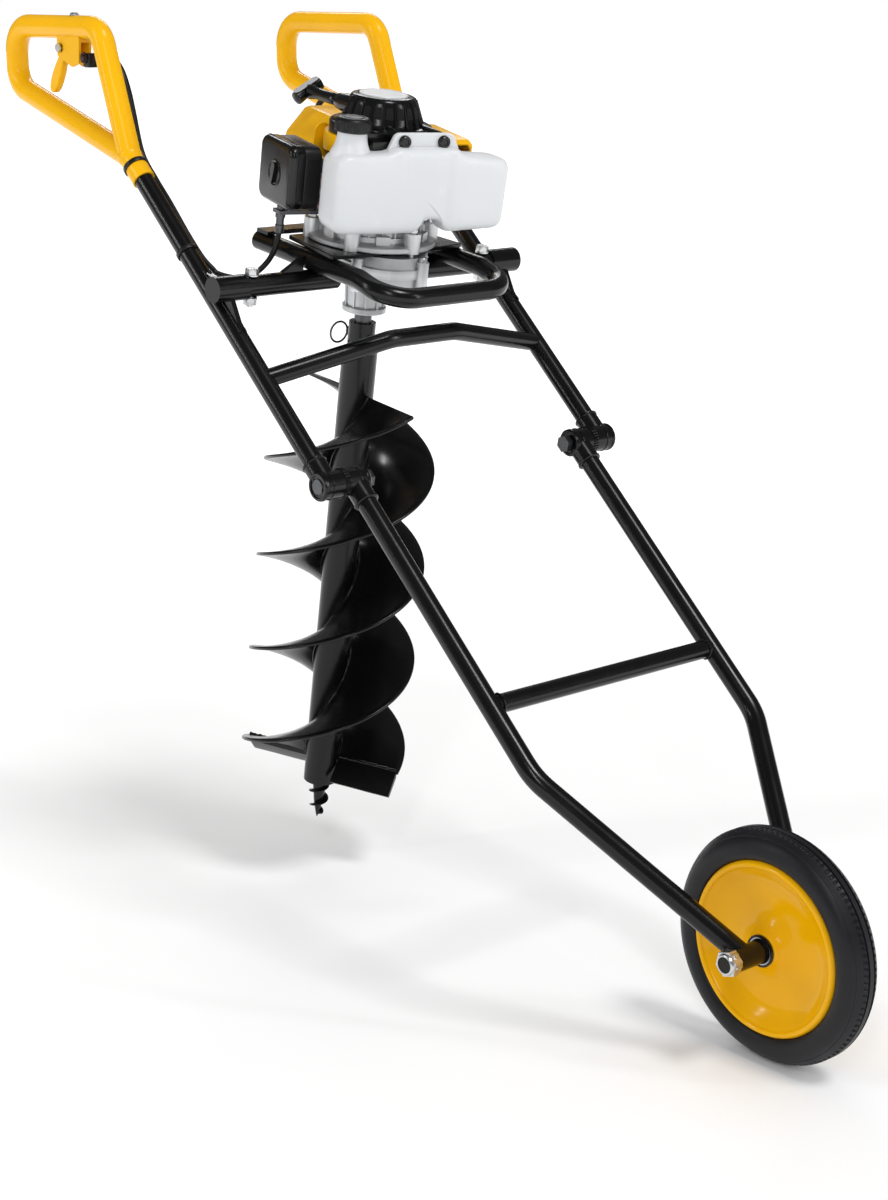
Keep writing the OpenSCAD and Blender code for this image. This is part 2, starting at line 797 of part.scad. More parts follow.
module wheel_rim() {
    w = tyre_w / 2;
    h = hub_d / 2;
    s = rim_sheet;
    color("#e3a90c") at_axle() rotate([-90, 0, 0]) difference() {
        rotate_extrude() polygon([
            [bearing_d / 2 + weld_gap, -w + 1], [h, -w + 1], [h + 8, -w + 9], [h + 20, -w + 12],
            [rim_r - 20, -w + 12],
            [rim_r - 10, -w + 7], [rim_r - 4, -w + 2], [rim_r, -w + 2], [rim_r, w - 2], [rim_r - 4, w - 2],
            [rim_r - 10, w - 7], [rim_r - 20, w - 12], [h + 20, w - 12], [h + 8, w - 9], [h, w - 1],
            [bearing_d / 2 + weld_gap, w - 1]]);
        rotate_extrude() polygon([
            [bearing_d / 2 + weld_gap + s, -w + 4], [h + 6, -w + 9 + s], [h + 19, -w + 12 + s],
            [rim_r - 18, -w + 12 + s], [rim_r - 9, -w + 7 + s], [rim_r - s, -w + 3 + s],
            [rim_r - s, w - 3 - s], [rim_r - 9, w - 7 - s], [rim_r - 18, w - 12 - s],
            [h + 19, w - 12 - s], [h + 6, w - 9 - s], [bearing_d / 2 + weld_gap + s, w - 4]]);
    }
}

module tyre() {
    w = tyre_w / 2;
    bead = rim_r + weld_gap;
    depth = tyre_r - bead;
    color("#24252a") at_axle() rotate([-90, 0, 0]) difference() {
        rotate_extrude() polygon([
            [bead, -w + 4], [bead + 2, -w + 2], [bead + 0.3 * depth, -w], [bead + 0.6 * depth, -w + 1],
            [tyre_r - 5, -w + 5], [tyre_r - 1, -w + 11], [tyre_r, -w + 16], [tyre_r, w - 16],
            [tyre_r - 1, w - 11], [tyre_r - 5, w - 5], [bead + 0.6 * depth, w - 1],
            [bead + 0.3 * depth, w], [bead + 2, w - 2], [bead, w - 4]]);
        for (z = [-8, 0, 8]) translate([0, 0, z - 0.8]) ring(1.6, tyre_r + 1, tyre_r - 2);
    }
}

module wheel_bearings() {
    w = tyre_w / 2;
    color("#101010") both_sides() at_axle() difference() {
        union() {
            along_y(w - 12, 12, bearing_d / 2);
            along_y(w - 1, fork_in - w + 1 - move_gap, hub_d / 2);
        }
        along_y(w - 13, 30, axle_d / 2 + run_gap);
    }
}

// Power head frame

module pivot_stub() {
    bolt_y = sleeve_in - 9;
    difference() {
        translate([pivot_fwd, 0, 0]) along_y(-sleeve_out + 1, sleeve_out - 1 - stub_in, stub_r);
        translate([pivot_fwd, 0, 0]) along_y(-sleeve_out, sleeve_out - stub_in + 2, stub_r - stub_wall);
        translate([pivot_fwd, -bolt_y, -30]) cylinder(h = 60, r = 4 + weld_gap);
    }
    gusset = guard_half_w + guard_rad + weld_gap;
    translate([pivot_fwd - 3, 0, 0]) rotate([90, 0, 90]) linear_extrude(6)
        polygon([[-gusset, stub_r + weld_gap], [-gusset - 28, stub_r + weld_gap], [-gusset, beam_v + 6]]);
}

module pivot_stubs() {
    color("#1d1d1d") {
        at_pod() both_sides() pivot_stub();
        difference() {
            at_pod() block([-guard_back + 4, -guard_half_w - 8, plate_v],
                [-guard_back + 24, -20, plate_v + 4]);
            at_engine() plate_blank(weld_gap);
        }
    }
}

module guard_tube(back, r) {
    bend_x = guard_front - 54;
    front_v = beam_v - guard_drop;
    bent_rod([
        [-back, -guard_half_w, beam_v], [bend_x, -guard_half_w, beam_v],
        [guard_front, -guard_half_w, front_v], [guard_front, guard_half_w, front_v],
        [bend_x, guard_half_w, beam_v], [-back, guard_half_w, beam_v]],
        [0, 40, guard_r, guard_r, 40, 0], r);
}

module guard_loop() {
    color("#1b1b1b") at_pod() difference() {
        guard_tube(guard_back, guard_rad);
        guard_tube(guard_back - 3, guard_rad - guard_wall);
    }
}

module plate_blank(grow) {
    block([-plate_half_l - grow, -plate_half_w - grow, plate_v - grow],
        [plate_half_l + grow, plate_half_w + grow, plate_v + plate_t + grow]);
}

clutch_boss_r = 9;
clutch_boss_at = clutch_r + 10;
clutch_boss_turn = -45;
bolt_r = 3;

module mounting_plate() {
    color("#191919") at_engine() difference() {
        plate_blank(0);
        translate([0, 0, plate_v - 1]) cylinder(h = plate_t + 2, r = drum_shaft_r + 8);
        for (k = [0 : 5]) rotate([0, 0, clutch_boss_turn + 60 * k])
            translate([clutch_boss_at, 0, plate_v - 1])
            cylinder(h = plate_t + 2, r = bolt_r + weld_gap);
    }
}

module power_head_bolts() {
    bolt_y = sleeve_in - 9;
    color("#c4c6c8") {
        at_pod() both_sides() translate([pivot_fwd, -bolt_y, 0]) {
            translate([0, 0, -stub_r - 9]) cylinder(h = 2 * stub_r + 14, r = 4);
            translate([0, 0, stub_r + weld_gap]) ring(1.6, 7, 4 + weld_gap);
            translate([0, 0, stub_r + weld_gap + 1.6]) cylinder(h = 5.5, r = 7.5, $fn = 6);
            translate([0, 0, -stub_r - weld_gap - 1.6]) ring(1.6, 7, 4 + weld_gap);
            translate([0, 0, -stub_r - weld_gap - 8]) difference() {
                cylinder(h = 6.4, r = 7.5, $fn = 6);
                translate([0, 0, -1]) cylinder(h = 9, r = 4 + weld_gap);
            }
        }
        at_engine() for (k = [0 : 5]) rotate([0, 0, clutch_boss_turn + 60 * k])
            translate([clutch_boss_at, 0, 0]) {
            translate([0, 0, plate_v]) cylinder(h = plate_t + 22, r = bolt_r);
            translate([0, 0, plate_v + plate_t + 22]) cylinder(h = 4, r = 5, $fn = 6);
        }
        at_pod() for (p = case_bosses) translate([p[0], p[1], -case_low - 4])
            cylinder(h = 4, r = 5, $fn = 6);
        at_engine() for (y = [-ear_pitch / 2, ear_pitch / 2]) translate([0, tank_shift + y, ear_v]) {
            along_x(ear_x - 12, 20, ear_bolt_r);
            along_x(ear_x + ear_t + weld_gap, 4, 2.4 * ear_bolt_r);
        }
    }
}

// Gearbox

case_bosses = [[-32, 36], [-32, -36], [gear_c + 4, 46], [gear_c + 4, -46], [gear_c + 44, 14]];

module case_outline(r) {
    circle(r = r);
    translate([gear_c, 0]) circle(r = r);
    translate([0, -r]) square([gear_c, 2 * r]);
}

module gearbox_case() {
    bottom = -case_low;
    bearing_v = bottom - nose_len + 6;
    color("#b5b7b8") at_pod() difference() {
        union() {
            translate([0, 0, bottom]) linear_extrude(case_split + case_low) case_outline(case_r);
            translate([0, 0, case_split - 5]) linear_extrude(5) case_outline(case_r + 3);
            for (p = case_bosses) translate([p[0], p[1], bottom])
                cylinder(h = case_split + case_low, r = 7);
            translate([0, 0, bottom - nose_len]) cylinder(h = nose_len + 1, r1 = nose_r2, r2 = nose_r1);
        }
        translate([0, 0, bottom + case_wall]) linear_extrude(case_split + case_low)
            case_outline(case_r - case_wall);
        translate([0, 0, bottom - nose_len - 1]) cylinder(h = nose_len + 20, r = shaft_r + 2);
        translate([0, 0, bearing_v - 7]) cylinder(h = 20, r = shaft_r + 7 + weld_gap);
    }
    color("#b5b7b8") at_pod() translate([gear_c, 0, bottom + case_wall])
        cylinder(h = fast_v + fast_t + 1 - bottom - case_wall, r = idler_pin_r);
}

module gearbox_cover() {
    top = plate_v - weld_gap;
    roof = fast_v + fast_t + 1.5;
    color("#c2c4c5") at_pod() difference() {
        union() {
            translate([0, 0, case_split]) linear_extrude(top - case_split) case_outline(case_r);
            translate([0, 0, case_split]) linear_extrude(5) case_outline(case_r + 3);
            for (p = case_bosses) translate([p[0], p[1], case_split]) cylinder(h = 14, r = 7);
        }
        translate([0, 0, case_split - 1]) linear_extrude(roof - case_split + 1)
            case_outline(case_r - case_wall);
        cylinder(h = 60, r = drum_shaft_r + 3);
    }
}

module shaft_bearings() {
    bottom = -case_low;
    bearing_v = bottom - nose_len + 6;
    color("#8d9093") {
        at_pod() translate([0, 0, bearing_v - 6]) ring(3, shaft_r + 7, shaft_r + run_gap);
        at_pod() translate([0, 0, bearing_v]) ring(12, shaft_r + 7, shaft_r + run_gap);
        at_engine() translate([0, 0, clutch_v + 0.5]) ring(6, drum_shaft_r + 7, drum_shaft_r + run_gap);
    }
}

module clutch_drum() {
    floor_v = clutch_v + 9;
    color("#7d8082") at_pod() {
        difference() {
            translate([0, 0, floor_v]) cylinder(h = 20, r = drum_r);
            translate([0, 0, floor_v + 3]) cylinder(h = 20, r = drum_r - 3);
        }
        translate([0, 0, fast_v + fast_t]) cylinder(h = floor_v - fast_v - fast_t, r = drum_shaft_r);
        translate([0, 0, fast_v]) linear_extrude(fast_t) gear_outline(m_fast, z_pinion);
    }
}

module idler_gear() {
    color("#86898b") at_pod() translate([gear_c, 0, 0]) difference() {
        union() {
            translate([0, 0, fast_v]) rotate([0, 0, 180 + 180 / z_wheel]) linear_extrude(fast_t)
                gear_outline(m_fast, z_wheel);
            translate([0, 0, gear_low]) rotate([0, 0, 180]) linear_extrude(slow_t + 1.5)
                gear_outline(m_slow, z_small);
        }
        translate([0, 0, -20]) cylinder(h = 80, r = idler_pin_r + run_gap);
    }
}

module output_shaft() {
    color("#8f9294") at_pod() difference() {
        union() {
            translate([0, 0, gear_low]) rotate([0, 0, 180 / z_out]) linear_extrude(slow_t)
                gear_outline(m_slow, z_out);
            translate([0, 0, -coupling_drop - coupling_len + 2])
                cylinder(h = coupling_drop + coupling_len - 2 + gear_low + 1, r = shaft_r);
        }
        translate([0, 0, -coupling_drop - 16]) along_x(-40, 80, pin_d / 2 + weld_gap);
    }
}

// Clutch and engine

module clutch_housing() {
    color("#bfc1c2") at_engine() difference() {
        union() {
            translate([0, 0, clutch_v]) cylinder(h = clutch_h, r = clutch_r - 4);
            translate([0, 0, clutch_v]) cylinder(h = 14, r = clutch_r);
            for (k = [0 : 5]) rotate([0, 0, clutch_boss_turn + 60 * k]) {
                translate([clutch_boss_at, 0, clutch_v]) cylinder(h = 22, r = clutch_boss_r);
                translate([clutch_r - 12, -5, clutch_v]) cube([22, 10, 20]);
            }
        }
        translate([0, 0, clutch_v + 7]) cylinder(h = clutch_h, r = drum_r + 4);
        translate([0, 0, clutch_v - 1]) cylinder(h = 20, r = drum_shaft_r + 2);
        translate([0, 0, clutch_v + 0.5]) cylinder(h = 20, r = drum_shaft_r + 7 + weld_gap);
        for (k = [0 : 5]) rotate([0, 0, clutch_boss_turn + 60 * k])
            translate([clutch_boss_at, 0, clutch_v - 1])
            cylinder(h = 40, r = bolt_r + weld_gap);
    }
}

module clutch_shoes() {
    v = clutch_v + 14;
    color("#6d6a66") at_engine() difference() {
        union() {
            translate([0, 0, v]) cylinder(h = 14, r = 14);
            difference() {
                translate([0, 0, v]) cylinder(h = 14, r = drum_r - 3 - 1);
                translate([0, 0, v - 1]) cylinder(h = 16, r = 20);
                for (a = [35, 215]) rotate([0, 0, a]) block([0, -3, v - 1], [80, 3, v + 16]);
            }
            block([-22, -6, v], [22, 6, v + 14]);
        }
        translate([0, 0, v - 1]) cylinder(h = 16, r = 7 + weld_gap);
    }
}

chamber_low = 16;
web_r = 30;
case_foot_h = 5.5;

module crankcase() {
    color("#aeb0b1") at_engine() difference() {
        union() {
            translate([0, 0, crankcase_v]) cylinder(h = crankcase_h, r = crankcase_r);
            translate([0, 0, crankcase_v]) cylinder(h = case_foot_h, r = clutch_r - 4);
            block([-cyl_flange, -32, crankcase_v + 4], [0, 32, flywheel_v + 2]);
        }
        translate([0, 0, crankcase_v + chamber_low])
            cylinder(h = crankcase_h - chamber_low - 8, r = web_r + 3);
        translate([0, 0, crank_v]) along_x(-cyl_flange - 1, cyl_flange, bore_d / 2 + 1);
        translate([0, 0, crankcase_v - 1]) cylinder(h = 90, r = 7.5 + run_gap);
        translate([0, 0, flywheel_v]) cylinder(h = 10, r = flywheel_r + 1);
    }
}

module crankshaft() {
    gap = 6;
    low = clutch_v + 13;
    top = starter_v - 1;
    throw = stroke / 2;
    color("#85888a") at_engine() {
        translate([0, 0, low]) cylinder(h = clutch_v + 30 - low, r = 7);
        translate([0, 0, clutch_v + 30]) cylinder(h = crank_v - gap - clutch_v - 30, r = 7.5);
        translate([0, 0, crank_v - gap - 8]) cylinder(h = 8, r = web_r);
        translate([-throw, 0, crank_v - gap]) cylinder(h = 2 * gap, r = 6);
        translate([0, 0, crank_v + gap]) cylinder(h = 8, r = web_r);
        translate([0, 0, crank_v + gap + 8]) cylinder(h = top - crank_v - gap - 8, r = 7.5);
        difference() {
            translate([0, 0, flywheel_v + 2.5]) cylinder(h = flywheel_t - 4, r = flywheel_r);
            translate([0, 0, flywheel_v + 8]) ring(20, flywheel_r - 6, 14);
            translate([0, 0, flywheel_v]) cylinder(h = 30, r = 7);
        }
    }
    color("#2f2a26") at_engine()
        block([-flywheel_r - 12, -16, crank_v + 30], [-flywheel_r - 1, 16, crank_v + 40]);
}

module piston_and_rod() {
    throw = stroke / 2;
    color("#a7a9ab") at_engine() {
        difference() {
            union() {
                translate([-throw, 0, crank_v - 5.5]) cylinder(h = 11, r = 10);
                translate([-piston_x, 0, crank_v - 5.5]) cylinder(h = 11, r = 8);
                block([-piston_x, -4, crank_v - 4], [-throw, 4, crank_v + 4]);
            }
            translate([-throw, 0, crank_v - 20]) cylinder(h = 40, r = 6 + run_gap);
            translate([-piston_x, 0, crank_v - 20]) cylinder(h = 40, r = 5 + run_gap);
        }
        translate([-piston_x, 0, crank_v - 17]) cylinder(h = 34, r = 5);
        translate([0, 0, crank_v]) difference() {
            along_x(-piston_x - 16, 34, bore_d / 2 - run_gap);
            along_x(-piston_x - 11, 34, bore_d / 2 - 4);
            translate([-piston_x, 0, -30]) cylinder(h = 60, r = 5 + run_gap);
        }
    }
}

module engine_cylinder() {
    half = fin_side / 2;
    pitch = 8;
    color("#a2a4a5") at_engine() translate([0, 0, crank_v]) difference() {
        union() {
            along_x(-cyl_head, cyl_head - cyl_flange, bore_d / 2 + 6);
            block([-cyl_flange - 8, -30, crankcase_v + case_foot_h + 1 - crank_v], [-cyl_flange, 30, 30]);
            for (k = [0 : 7]) block([-cyl_flange - 14 - pitch * k, -half, -half],
                [-cyl_flange - 11 - pitch * k, half, half]);
            block([carb_x + 2 - 20, -shroud_half - 4, -12], [carb_x + 26, -20, 12]);
            block([-68, 20, -12], [-48 - 2, shroud_half + 4, 12]);
        }
        along_x(-cyl_head + 8, cyl_head, bore_d / 2);
        along_x(-cyl_head - 1, 12, 5 + weld_gap);
        block([-cyl_flange, -80, -60], [0, 80, 60]);
    }
}

module spark_plug() {
    color("#e2e2de") at_engine() translate([0, 0, crank_v]) {
        along_x(-cyl_head, 7, 5);
        along_x(-cyl_head - 8, 8, 9);
        along_x(-cyl_head - 34, 26, 7);
    }
}

module shroud_form(grow) {
    block([-shroud_back - grow, -shroud_half - grow, crank_v - 18],
        [-30, shroud_half + grow, shroud_top + grow]);
    translate([0, 0, flywheel_v + 2])
        cylinder(h = ring_top - flywheel_v - 2 - shroud_t + grow, r = fan_ring_r - shroud_t + grow);
}

module cylinder_shroud() {
    port = 16;
    color("#f0b408") at_engine() difference() {
        shroud_form(shroud_t);
        translate([0, 0, -0.01]) shroud_form(0);
        translate([0, 0, flywheel_v]) cylinder(h = 60, r = starter_r1 - 10);
        block([-60, -starter_r1 + 8, flywheel_v + 2], [0, starter_r1 - 8, ring_top - shroud_t]);
        block([carb_x - 19, -shroud_half - 20, crank_v - 40],
            [carb_x + 28, -shroud_half + 10, crank_v + 14]);
        block([-70, shroud_half - 10, crank_v - 40], [-46, shroud_half + 20, crank_v + 14]);
        translate([0, 0, crank_v]) along_x(-shroud_back - 20, 40, port);
        block([-60, -90, crank_v - 60], [crankcase_r, 90, flywheel_v + 2]);
        translate([0, 0, starter_v]) cylinder(h = 80, r = fan_ring_r + 4);
        block([muffler_x - 10, muffler_y - move_gap, 0],
            [muffler_x + muffler_l + 14, 200, muffler_v + muffler_h + shroud_t + 2 * move_gap]);
        for (y = [-ear_pitch / 2, ear_pitch / 2]) translate([0, tank_shift + y, ear_v])
            along_x(20, ear_x, ear_r - 1 + move_gap);
    }
}

module muffler_form(shrink) {
    size = [muffler_l, muffler_d, muffler_h];
    low = [muffler_x, muffler_y, muffler_v];
    soft_block(low + shrink * [1, 1, 1], low + size - shrink * [1, 1, 1], 10 - shrink);
}

module muffler() {
    color("#2b2a29") at_engine() difference() {
        muffler_form(0);
        muffler_form(shroud_t);
        translate([muffler_x + 21, 0, crank_v]) along_y(muffler_y - 1, 8, 9);
        translate([muffler_x + muffler_l - 16, muffler_y + muffler_d / 2, muffler_v - 1])
            cylinder(h = 8, r = 6);
    }
}

module muffler_cover() {
    lift = move_gap;
    low = [muffler_x - 4, muffler_y, muffler_v + 22];
    high = [muffler_x + muffler_l + 8, muffler_y + muffler_d + 6, muffler_v + muffler_h + lift + shroud_t];
    color("#eeb107") at_engine() difference() {
        block(low, high);
        block([muffler_x - 5, muffler_y - 1, low[2] - 1],
            [high[0] - shroud_t, high[1] - shroud_t, high[2] - shroud_t]);
    }
}

module starter_housing() {
    color("#17181b") at_engine() difference() {
        union() {
            translate([0, 0, starter_v]) cylinder(h = 8, r = starter_r1);
            translate([0, 0, starter_v + 8])
                cylinder(h = starter_h - 10, r1 = starter_r1 - 4, r2 = starter_r2);
            for (y = [-ear_pitch / 2, ear_pitch / 2]) translate([0, tank_shift + y, ear_v])
                along_x(30, ear_x - 30, ear_r - 1);
            rotate([0, 0, engine_yaw]) translate([0, -pulley_r, rope_v]) along_x(-44, 36, 8);
        }
        translate([0, 0, starter_v - 1]) cylinder(h = 9, r = starter_r1 - 5);
        translate([0, 0, starter_v + 7.9]) cylinder(h = 24, r1 = starter_r1 - 9, r2 = starter_r2 + 1);
        translate([0, 0, starter_v + 10]) cylinder(h = 26, r = pulley_r + 6);
        rotate([0, 0, engine_yaw]) translate([0, -pulley_r, rope_v]) along_x(-60, 60, 3);
        for (y = [-ear_pitch / 2, ear_pitch / 2]) translate([0, tank_shift + y, ear_v])
            along_x(ear_x - 14, 20, ear_bolt_r + weld_gap);
    }
    color("#17181b") at_engine() translate([0, 0, starter_v + 12]) cylinder(h = 26, r = 6);
}

module starter_disc() {
    color("#d9dadb") at_engine() translate([0, 0, starter_v + starter_h - 2])
        cylinder(h = 2, r = starter_disc_r);
}

module starter_pulley() {
    color("#2a2b2e") at_pod() translate([0, 0, rope_v - 5]) difference() {
        cylinder(h = 10, r = pulley_r + 3);
        translate([0, 0, 3]) ring(4, pulley_r + 10, pulley_r - 2);
        translate([0, 0, -1]) cylinder(h = 12, r = 6 + run_gap);
    }
}

module starter_grip() {
    end = -46;
    color("#101113") at_pod() translate([0, -pulley_r, rope_v]) {
        along_x(end - 52, 52, 7);
        translate([end - 54, 0, 0]) rotate([-62, 0, 0]) translate([0, 0, -20]) cylinder(h = 40, r = 7.5);
    }
}

module starter_rope() {
    color("#d8d4c4") at_pod() translate([0, -pulley_r, rope_v]) along_x(-46, 40, 2);
}

// Tank

module tank_form(shrink) {
    half = tank_w / 2 - shrink;
    r = tank_r - shrink;
    back = tank_back + shrink;
    front = tank_front - shrink;
    difference() {
        translate([0, tank_shift, tank_v + shrink]) linear_extrude(tank_h - 2 * shrink) difference() {
            union() {
                translate([back, -half + r]) square([front - back, 2 * half - 2 * r]);
                translate([back + r, -half]) square([front - back - 2 * r, 2 * half]);
                for (x = [back + r, front - r], y = [-half + r, half - r]) translate([x, y]) circle(r = r);
            }
            translate([front - tank_channel, -tank_channel_w / 2]) square([tank_r, tank_channel_w]);
        }
        translate([0, 0, tank_v - 20]) cylinder(h = tank_h + 60, r = fan_ring_r + 2 + shrink);
        translate([0, tank_shift + 12, tank_v - 4]) along_x(0, 120, tank_notch_r + shrink);
    }
}

module fuel_tank() {
    ear_back = ear_x + weld_gap;
    color("#eceded", 0.9) at_engine() difference() {
        union() {
            tank_form(0);
            translate([neck_at[0], neck_at[1], tank_top - 20]) cylinder(h = neck_h + 20, r = neck_r);
            for (y = [-ear_pitch / 2, ear_pitch / 2]) translate([0, tank_shift + y, 0]) {
                translate([0, 0, ear_v]) along_x(ear_back, ear_t, ear_r);
                block([ear_back, -ear_r, tank_top - 1], [ear_back + ear_t, ear_r, ear_v]);
            }
            block([ear_back, tank_shift - ear_pitch / 2, tank_top - 1],
                [ear_back + ear_t, tank_shift + ear_pitch / 2, ear_v + ear_r - 1]);
        }
        tank_form(tank_wall);
        translate([neck_at[0], neck_at[1], tank_top - 24])
            cylinder(h = neck_h + 40, r = neck_r - tank_wall);
        for (y = [-ear_pitch / 2, ear_pitch / 2]) translate([0, tank_shift + y, ear_v])
            along_x(ear_x - 20, 40, ear_bolt_r + weld_gap);
    }
}

module fuel_cap() {
    low = neck_top + move_gap + 4 - fuel_cap_h;
    color("#15161a") at_engine() translate([neck_at[0], neck_at[1], low]) difference() {
        union() {
            cylinder(h = fuel_cap_h, r = fuel_cap_r);
            for (k = [0 : 11]) rotate([0, 0, 30 * k]) translate([fuel_cap_r - 0.6, 0, 0])
                cylinder(h = fuel_cap_h - 3, r = 1.6);
        }
        translate([0, 0, -1]) cylinder(h = fuel_cap_h - 3, r = neck_r + move_gap);
    }
}

// Intake and exhaust

module carburettor() {
    x = carb_x;
    color("#9d9fa0") at_engine() difference() {
        union() {
            block([x, -base_y + weld_gap, crank_v - 22], [x + carb_l, -carb_y - weld_gap, crank_v + 16]);
            block([x + carb_l - 18, -carb_y - 14, crank_v - 40],
                [x + carb_l, -carb_y - weld_gap, crank_v - 21]);
            block([x + carb_l - 18, adjuster_at[1] - 6, crank_v - 44],
                [x + carb_l, -carb_y - weld_gap, crank_v - 40]);
            block([x + carb_l - 1, -base_y + 3, crank_v - 20], [x + carb_l + 4, -carb_y - 3, crank_v + 2]);
            translate([adjuster_at[0], adjuster_at[1], crank_v - 66]) cylinder(h = 30, r = 4.5);
        }
        translate([x + carb_l / 2 - 12, -(base_y + carb_y) / 2, crank_v - 30])
            cylinder(h = 12, r = 3 + run_gap);
        translate([x + carb_l / 2 + 4, -(base_y + carb_y) / 2, crank_v + 8])
            cylinder(h = 12, r = 3 + run_gap);
        translate([0, -(base_y + carb_y) / 2, crank_v - 9]) along_x(x + carb_l - 4, 12, 6 + move_gap);
    }
}

module throttle_cam() {
    color("#d2b64a") at_engine()
        translate([carb_x + carb_l / 2 - 12, -(base_y + carb_y) / 2, crank_v - 22]) {
        translate([0, 0, -move_gap - 3]) cylinder(h = 3, r = 9);
        translate([0, 0, -move_gap]) cylinder(h = 3, r = 3);
        block([-14, -3, -move_gap - 3], [0, 3, -move_gap]);
    }
}

module choke_lever() {
    color("#d6cf9a") at_engine()
        translate([carb_x + carb_l / 2 + 4, -(base_y + carb_y) / 2, crank_v + 16]) {
        translate([0, 0, -6]) cylinder(h = 6.5, r = 3);
        translate([0, 0, move_gap]) linear_extrude(3) {
            circle(r = 6);
            translate([0, -3]) square([30, 6]);
        }
    }
}

module primer_bulb() {
    color("#c9a8a0") at_engine() translate([carb_x + carb_l, -(base_y + carb_y) / 2, crank_v - 9]) {
        along_x(-0.5, 6, 6);
        translate([5.5, 0, 0]) difference() {
            sphere(r = 6);
            block([-10, -10, -10], [-0.01, 10, 10]);
        }
    }
}

module filter_base() {
    y = -cover_y + weld_gap;
    high = [filter_x + filter_l, -base_y, filter_v + filter_h];
    color("#141416") at_engine() difference() {
        soft_block([filter_x, y, filter_v], high, 9);
        soft_block([filter_x + 6, y - 1, filter_v + 6], high - [6, 4, 6], 4);
    }
    color("#7a7350") at_engine() block([filter_x + 7, y - 8, filter_v + 7], high - [7, 4, 7]);
}

module filter_cover() {
    high = [filter_x + filter_l, -cover_y, filter_v + filter_h];
    color("#18181a") at_engine() difference() {
        soft_block([filter_x, -filter_face, filter_v], high, 9);
        soft_block([filter_x + 3, -filter_face + 3, filter_v + 3], high + [-3, 1, -3], 6);
    }
}

module cable_loop() {
    color("#131313") at_hinge() cord(smooth_route(cable_loop_route, 3), cable_d / 2, 8);
}

// Auger

module auger_core() {
    pin_v = -coupling_drop - 16;
    color("#141414") at_pod() difference() {
        union() {
            translate([0, 0, core_top]) cylinder(h = coupling_len, r = coupling_d / 2);
            translate([0, 0, core_foot]) cylinder(h = core_top - core_foot, r = core_r);
        }
        translate([0, 0, core_top]) cylinder(h = coupling_len + 1, r = shaft_r + run_gap);
        translate([0, 0, core_foot + 8]) cylinder(h = core_top - core_foot - 16, r = core_r - core_wall);
        translate([0, 0, pin_v]) along_x(-40, 80, pin_d / 2 + run_gap);
    }
}

module coupling_pin() {
    pin_v = -coupling_drop - 16;
    out = coupling_d / 2;
    color("#1a1a1a") at_pod() translate([0, 0, pin_v]) {
        along_x(-out - 3, 2 * out + 9, pin_d / 2);
        along_x(-out - 6, 3, pin_d);
        translate([-out - 4.5, -12 - pin_d + 1, 0]) rotate([0, 90, 0]) rotate_extrude()
            translate([12, 0]) circle(r = 1.2, $fn = 16);
    }
}

module flight() {
    n = round(flight_turns * flight_steps);
    inner = (core_r + weld_gap) / cos(180 / flight_steps);
    function at(i, r, up) = [
        r * cos(360 * i / flight_steps),
        r * sin(360 * i / flight_steps),
        flight_lead * i / flight_steps + up];
    points = [for (i = [0 : n]) each [
        at(i, inner, 0), at(i, flight_r, 0), at(i, flight_r, flight_t), at(i, inner, flight_t)]];
    skin = [for (i = [0 : n - 1], k = [0 : 3]) each [
        [4 * i + k, 4 * i + (k + 1) % 4, 4 * i + 4 + (k + 1) % 4],
        [4 * i + k, 4 * i + 4 + (k + 1) % 4, 4 * i + 4 + k]]];
    ends = [[2, 1, 0], [3, 2, 0], [4 * n, 4 * n + 1, 4 * n + 2], [4 * n, 4 * n + 2, 4 * n + 3]];
    polyhedron(points = points, faces = concat(skin, ends));
}

module auger_flight() {
    color("#121212") at_pod() for (angle = flight_foot_angles)
        translate([0, 0, flight_foot]) rotate([0, 0, angle]) flight();
}

// A plate at 45 degrees that carries on from a flight's lower end
module blade() {
    slant = blade_h - blade_t / sqrt(2);
    start = -0.2;
    difference() {
        translate([flight_r - 2 - blade_len, 0, 0]) rotate([90, 0, 90]) linear_extrude(blade_len)
            polygon([
            [start, flight_t], [start - slant, flight_t - slant],
            [start - slant + blade_t / sqrt(2), flight_t - blade_h], [start, flight_t - blade_t * sqrt(2)]]);
        translate([0, 0, -60]) cylinder(h = 120, r = core_r + weld_gap);
    }
}

module auger_tip() {
    color("#191919") at_pod() {
        for (angle = flight_foot_angles) translate([0, 0, flight_foot]) rotate([0, 0, angle]) blade();
        translate([0, 0, core_foot - pilot_len]) cylinder(h = pilot_len, r1 = 2, r2 = 9);
        for (k = [0, 1]) translate([0, 0, core_foot - 18 - 16 * k]) cylinder(h = 3, r = 14 - 3 * k);
    }
}

right_upper_tube();
left_upper_tube();
upper_crossbar();
right_handle();
left_handle();
pivot_sleeves();
upper_knuckles();
frame_fasteners();
trigger_bracket();
switch_housing();
throttle_cable();
throttle_trigger();
stop_button();
right_lower_tube();
left_lower_tube();
lower_crossbar();
lower_knuckles();
fork_sleeves();
axle_bolt();
wheel_rim();
tyre();
wheel_bearings();
pivot_stubs();
guard_loop();
mounting_plate();
power_head_bolts();
gearbox_case();
gearbox_cover();
shaft_bearings();
clutch_housing();
clutch_shoes();
crankcase();
crankshaft();
piston_and_rod();
engine_cylinder();
spark_plug();
cylinder_shroud();
muffler();
muffler_cover();
starter_housing();
starter_disc();
fuel_tank();
carburettor();
filter_base();
filter_cover();
cable_loop();
starter_rope();
clutch_drum();
idler_gear();
output_shaft();
coupling_pin();
auger_core();
auger_flight();
auger_tip();
starter_grip();
starter_pulley();
fuel_cap();
choke_lever();
throttle_cam();
primer_bulb();
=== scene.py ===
"""Looks of an earth auger on a folding push trolley: materials, detailed pieces, camera and light."""
import math

import bmesh
import bpy
from mathutils import Matrix, Vector


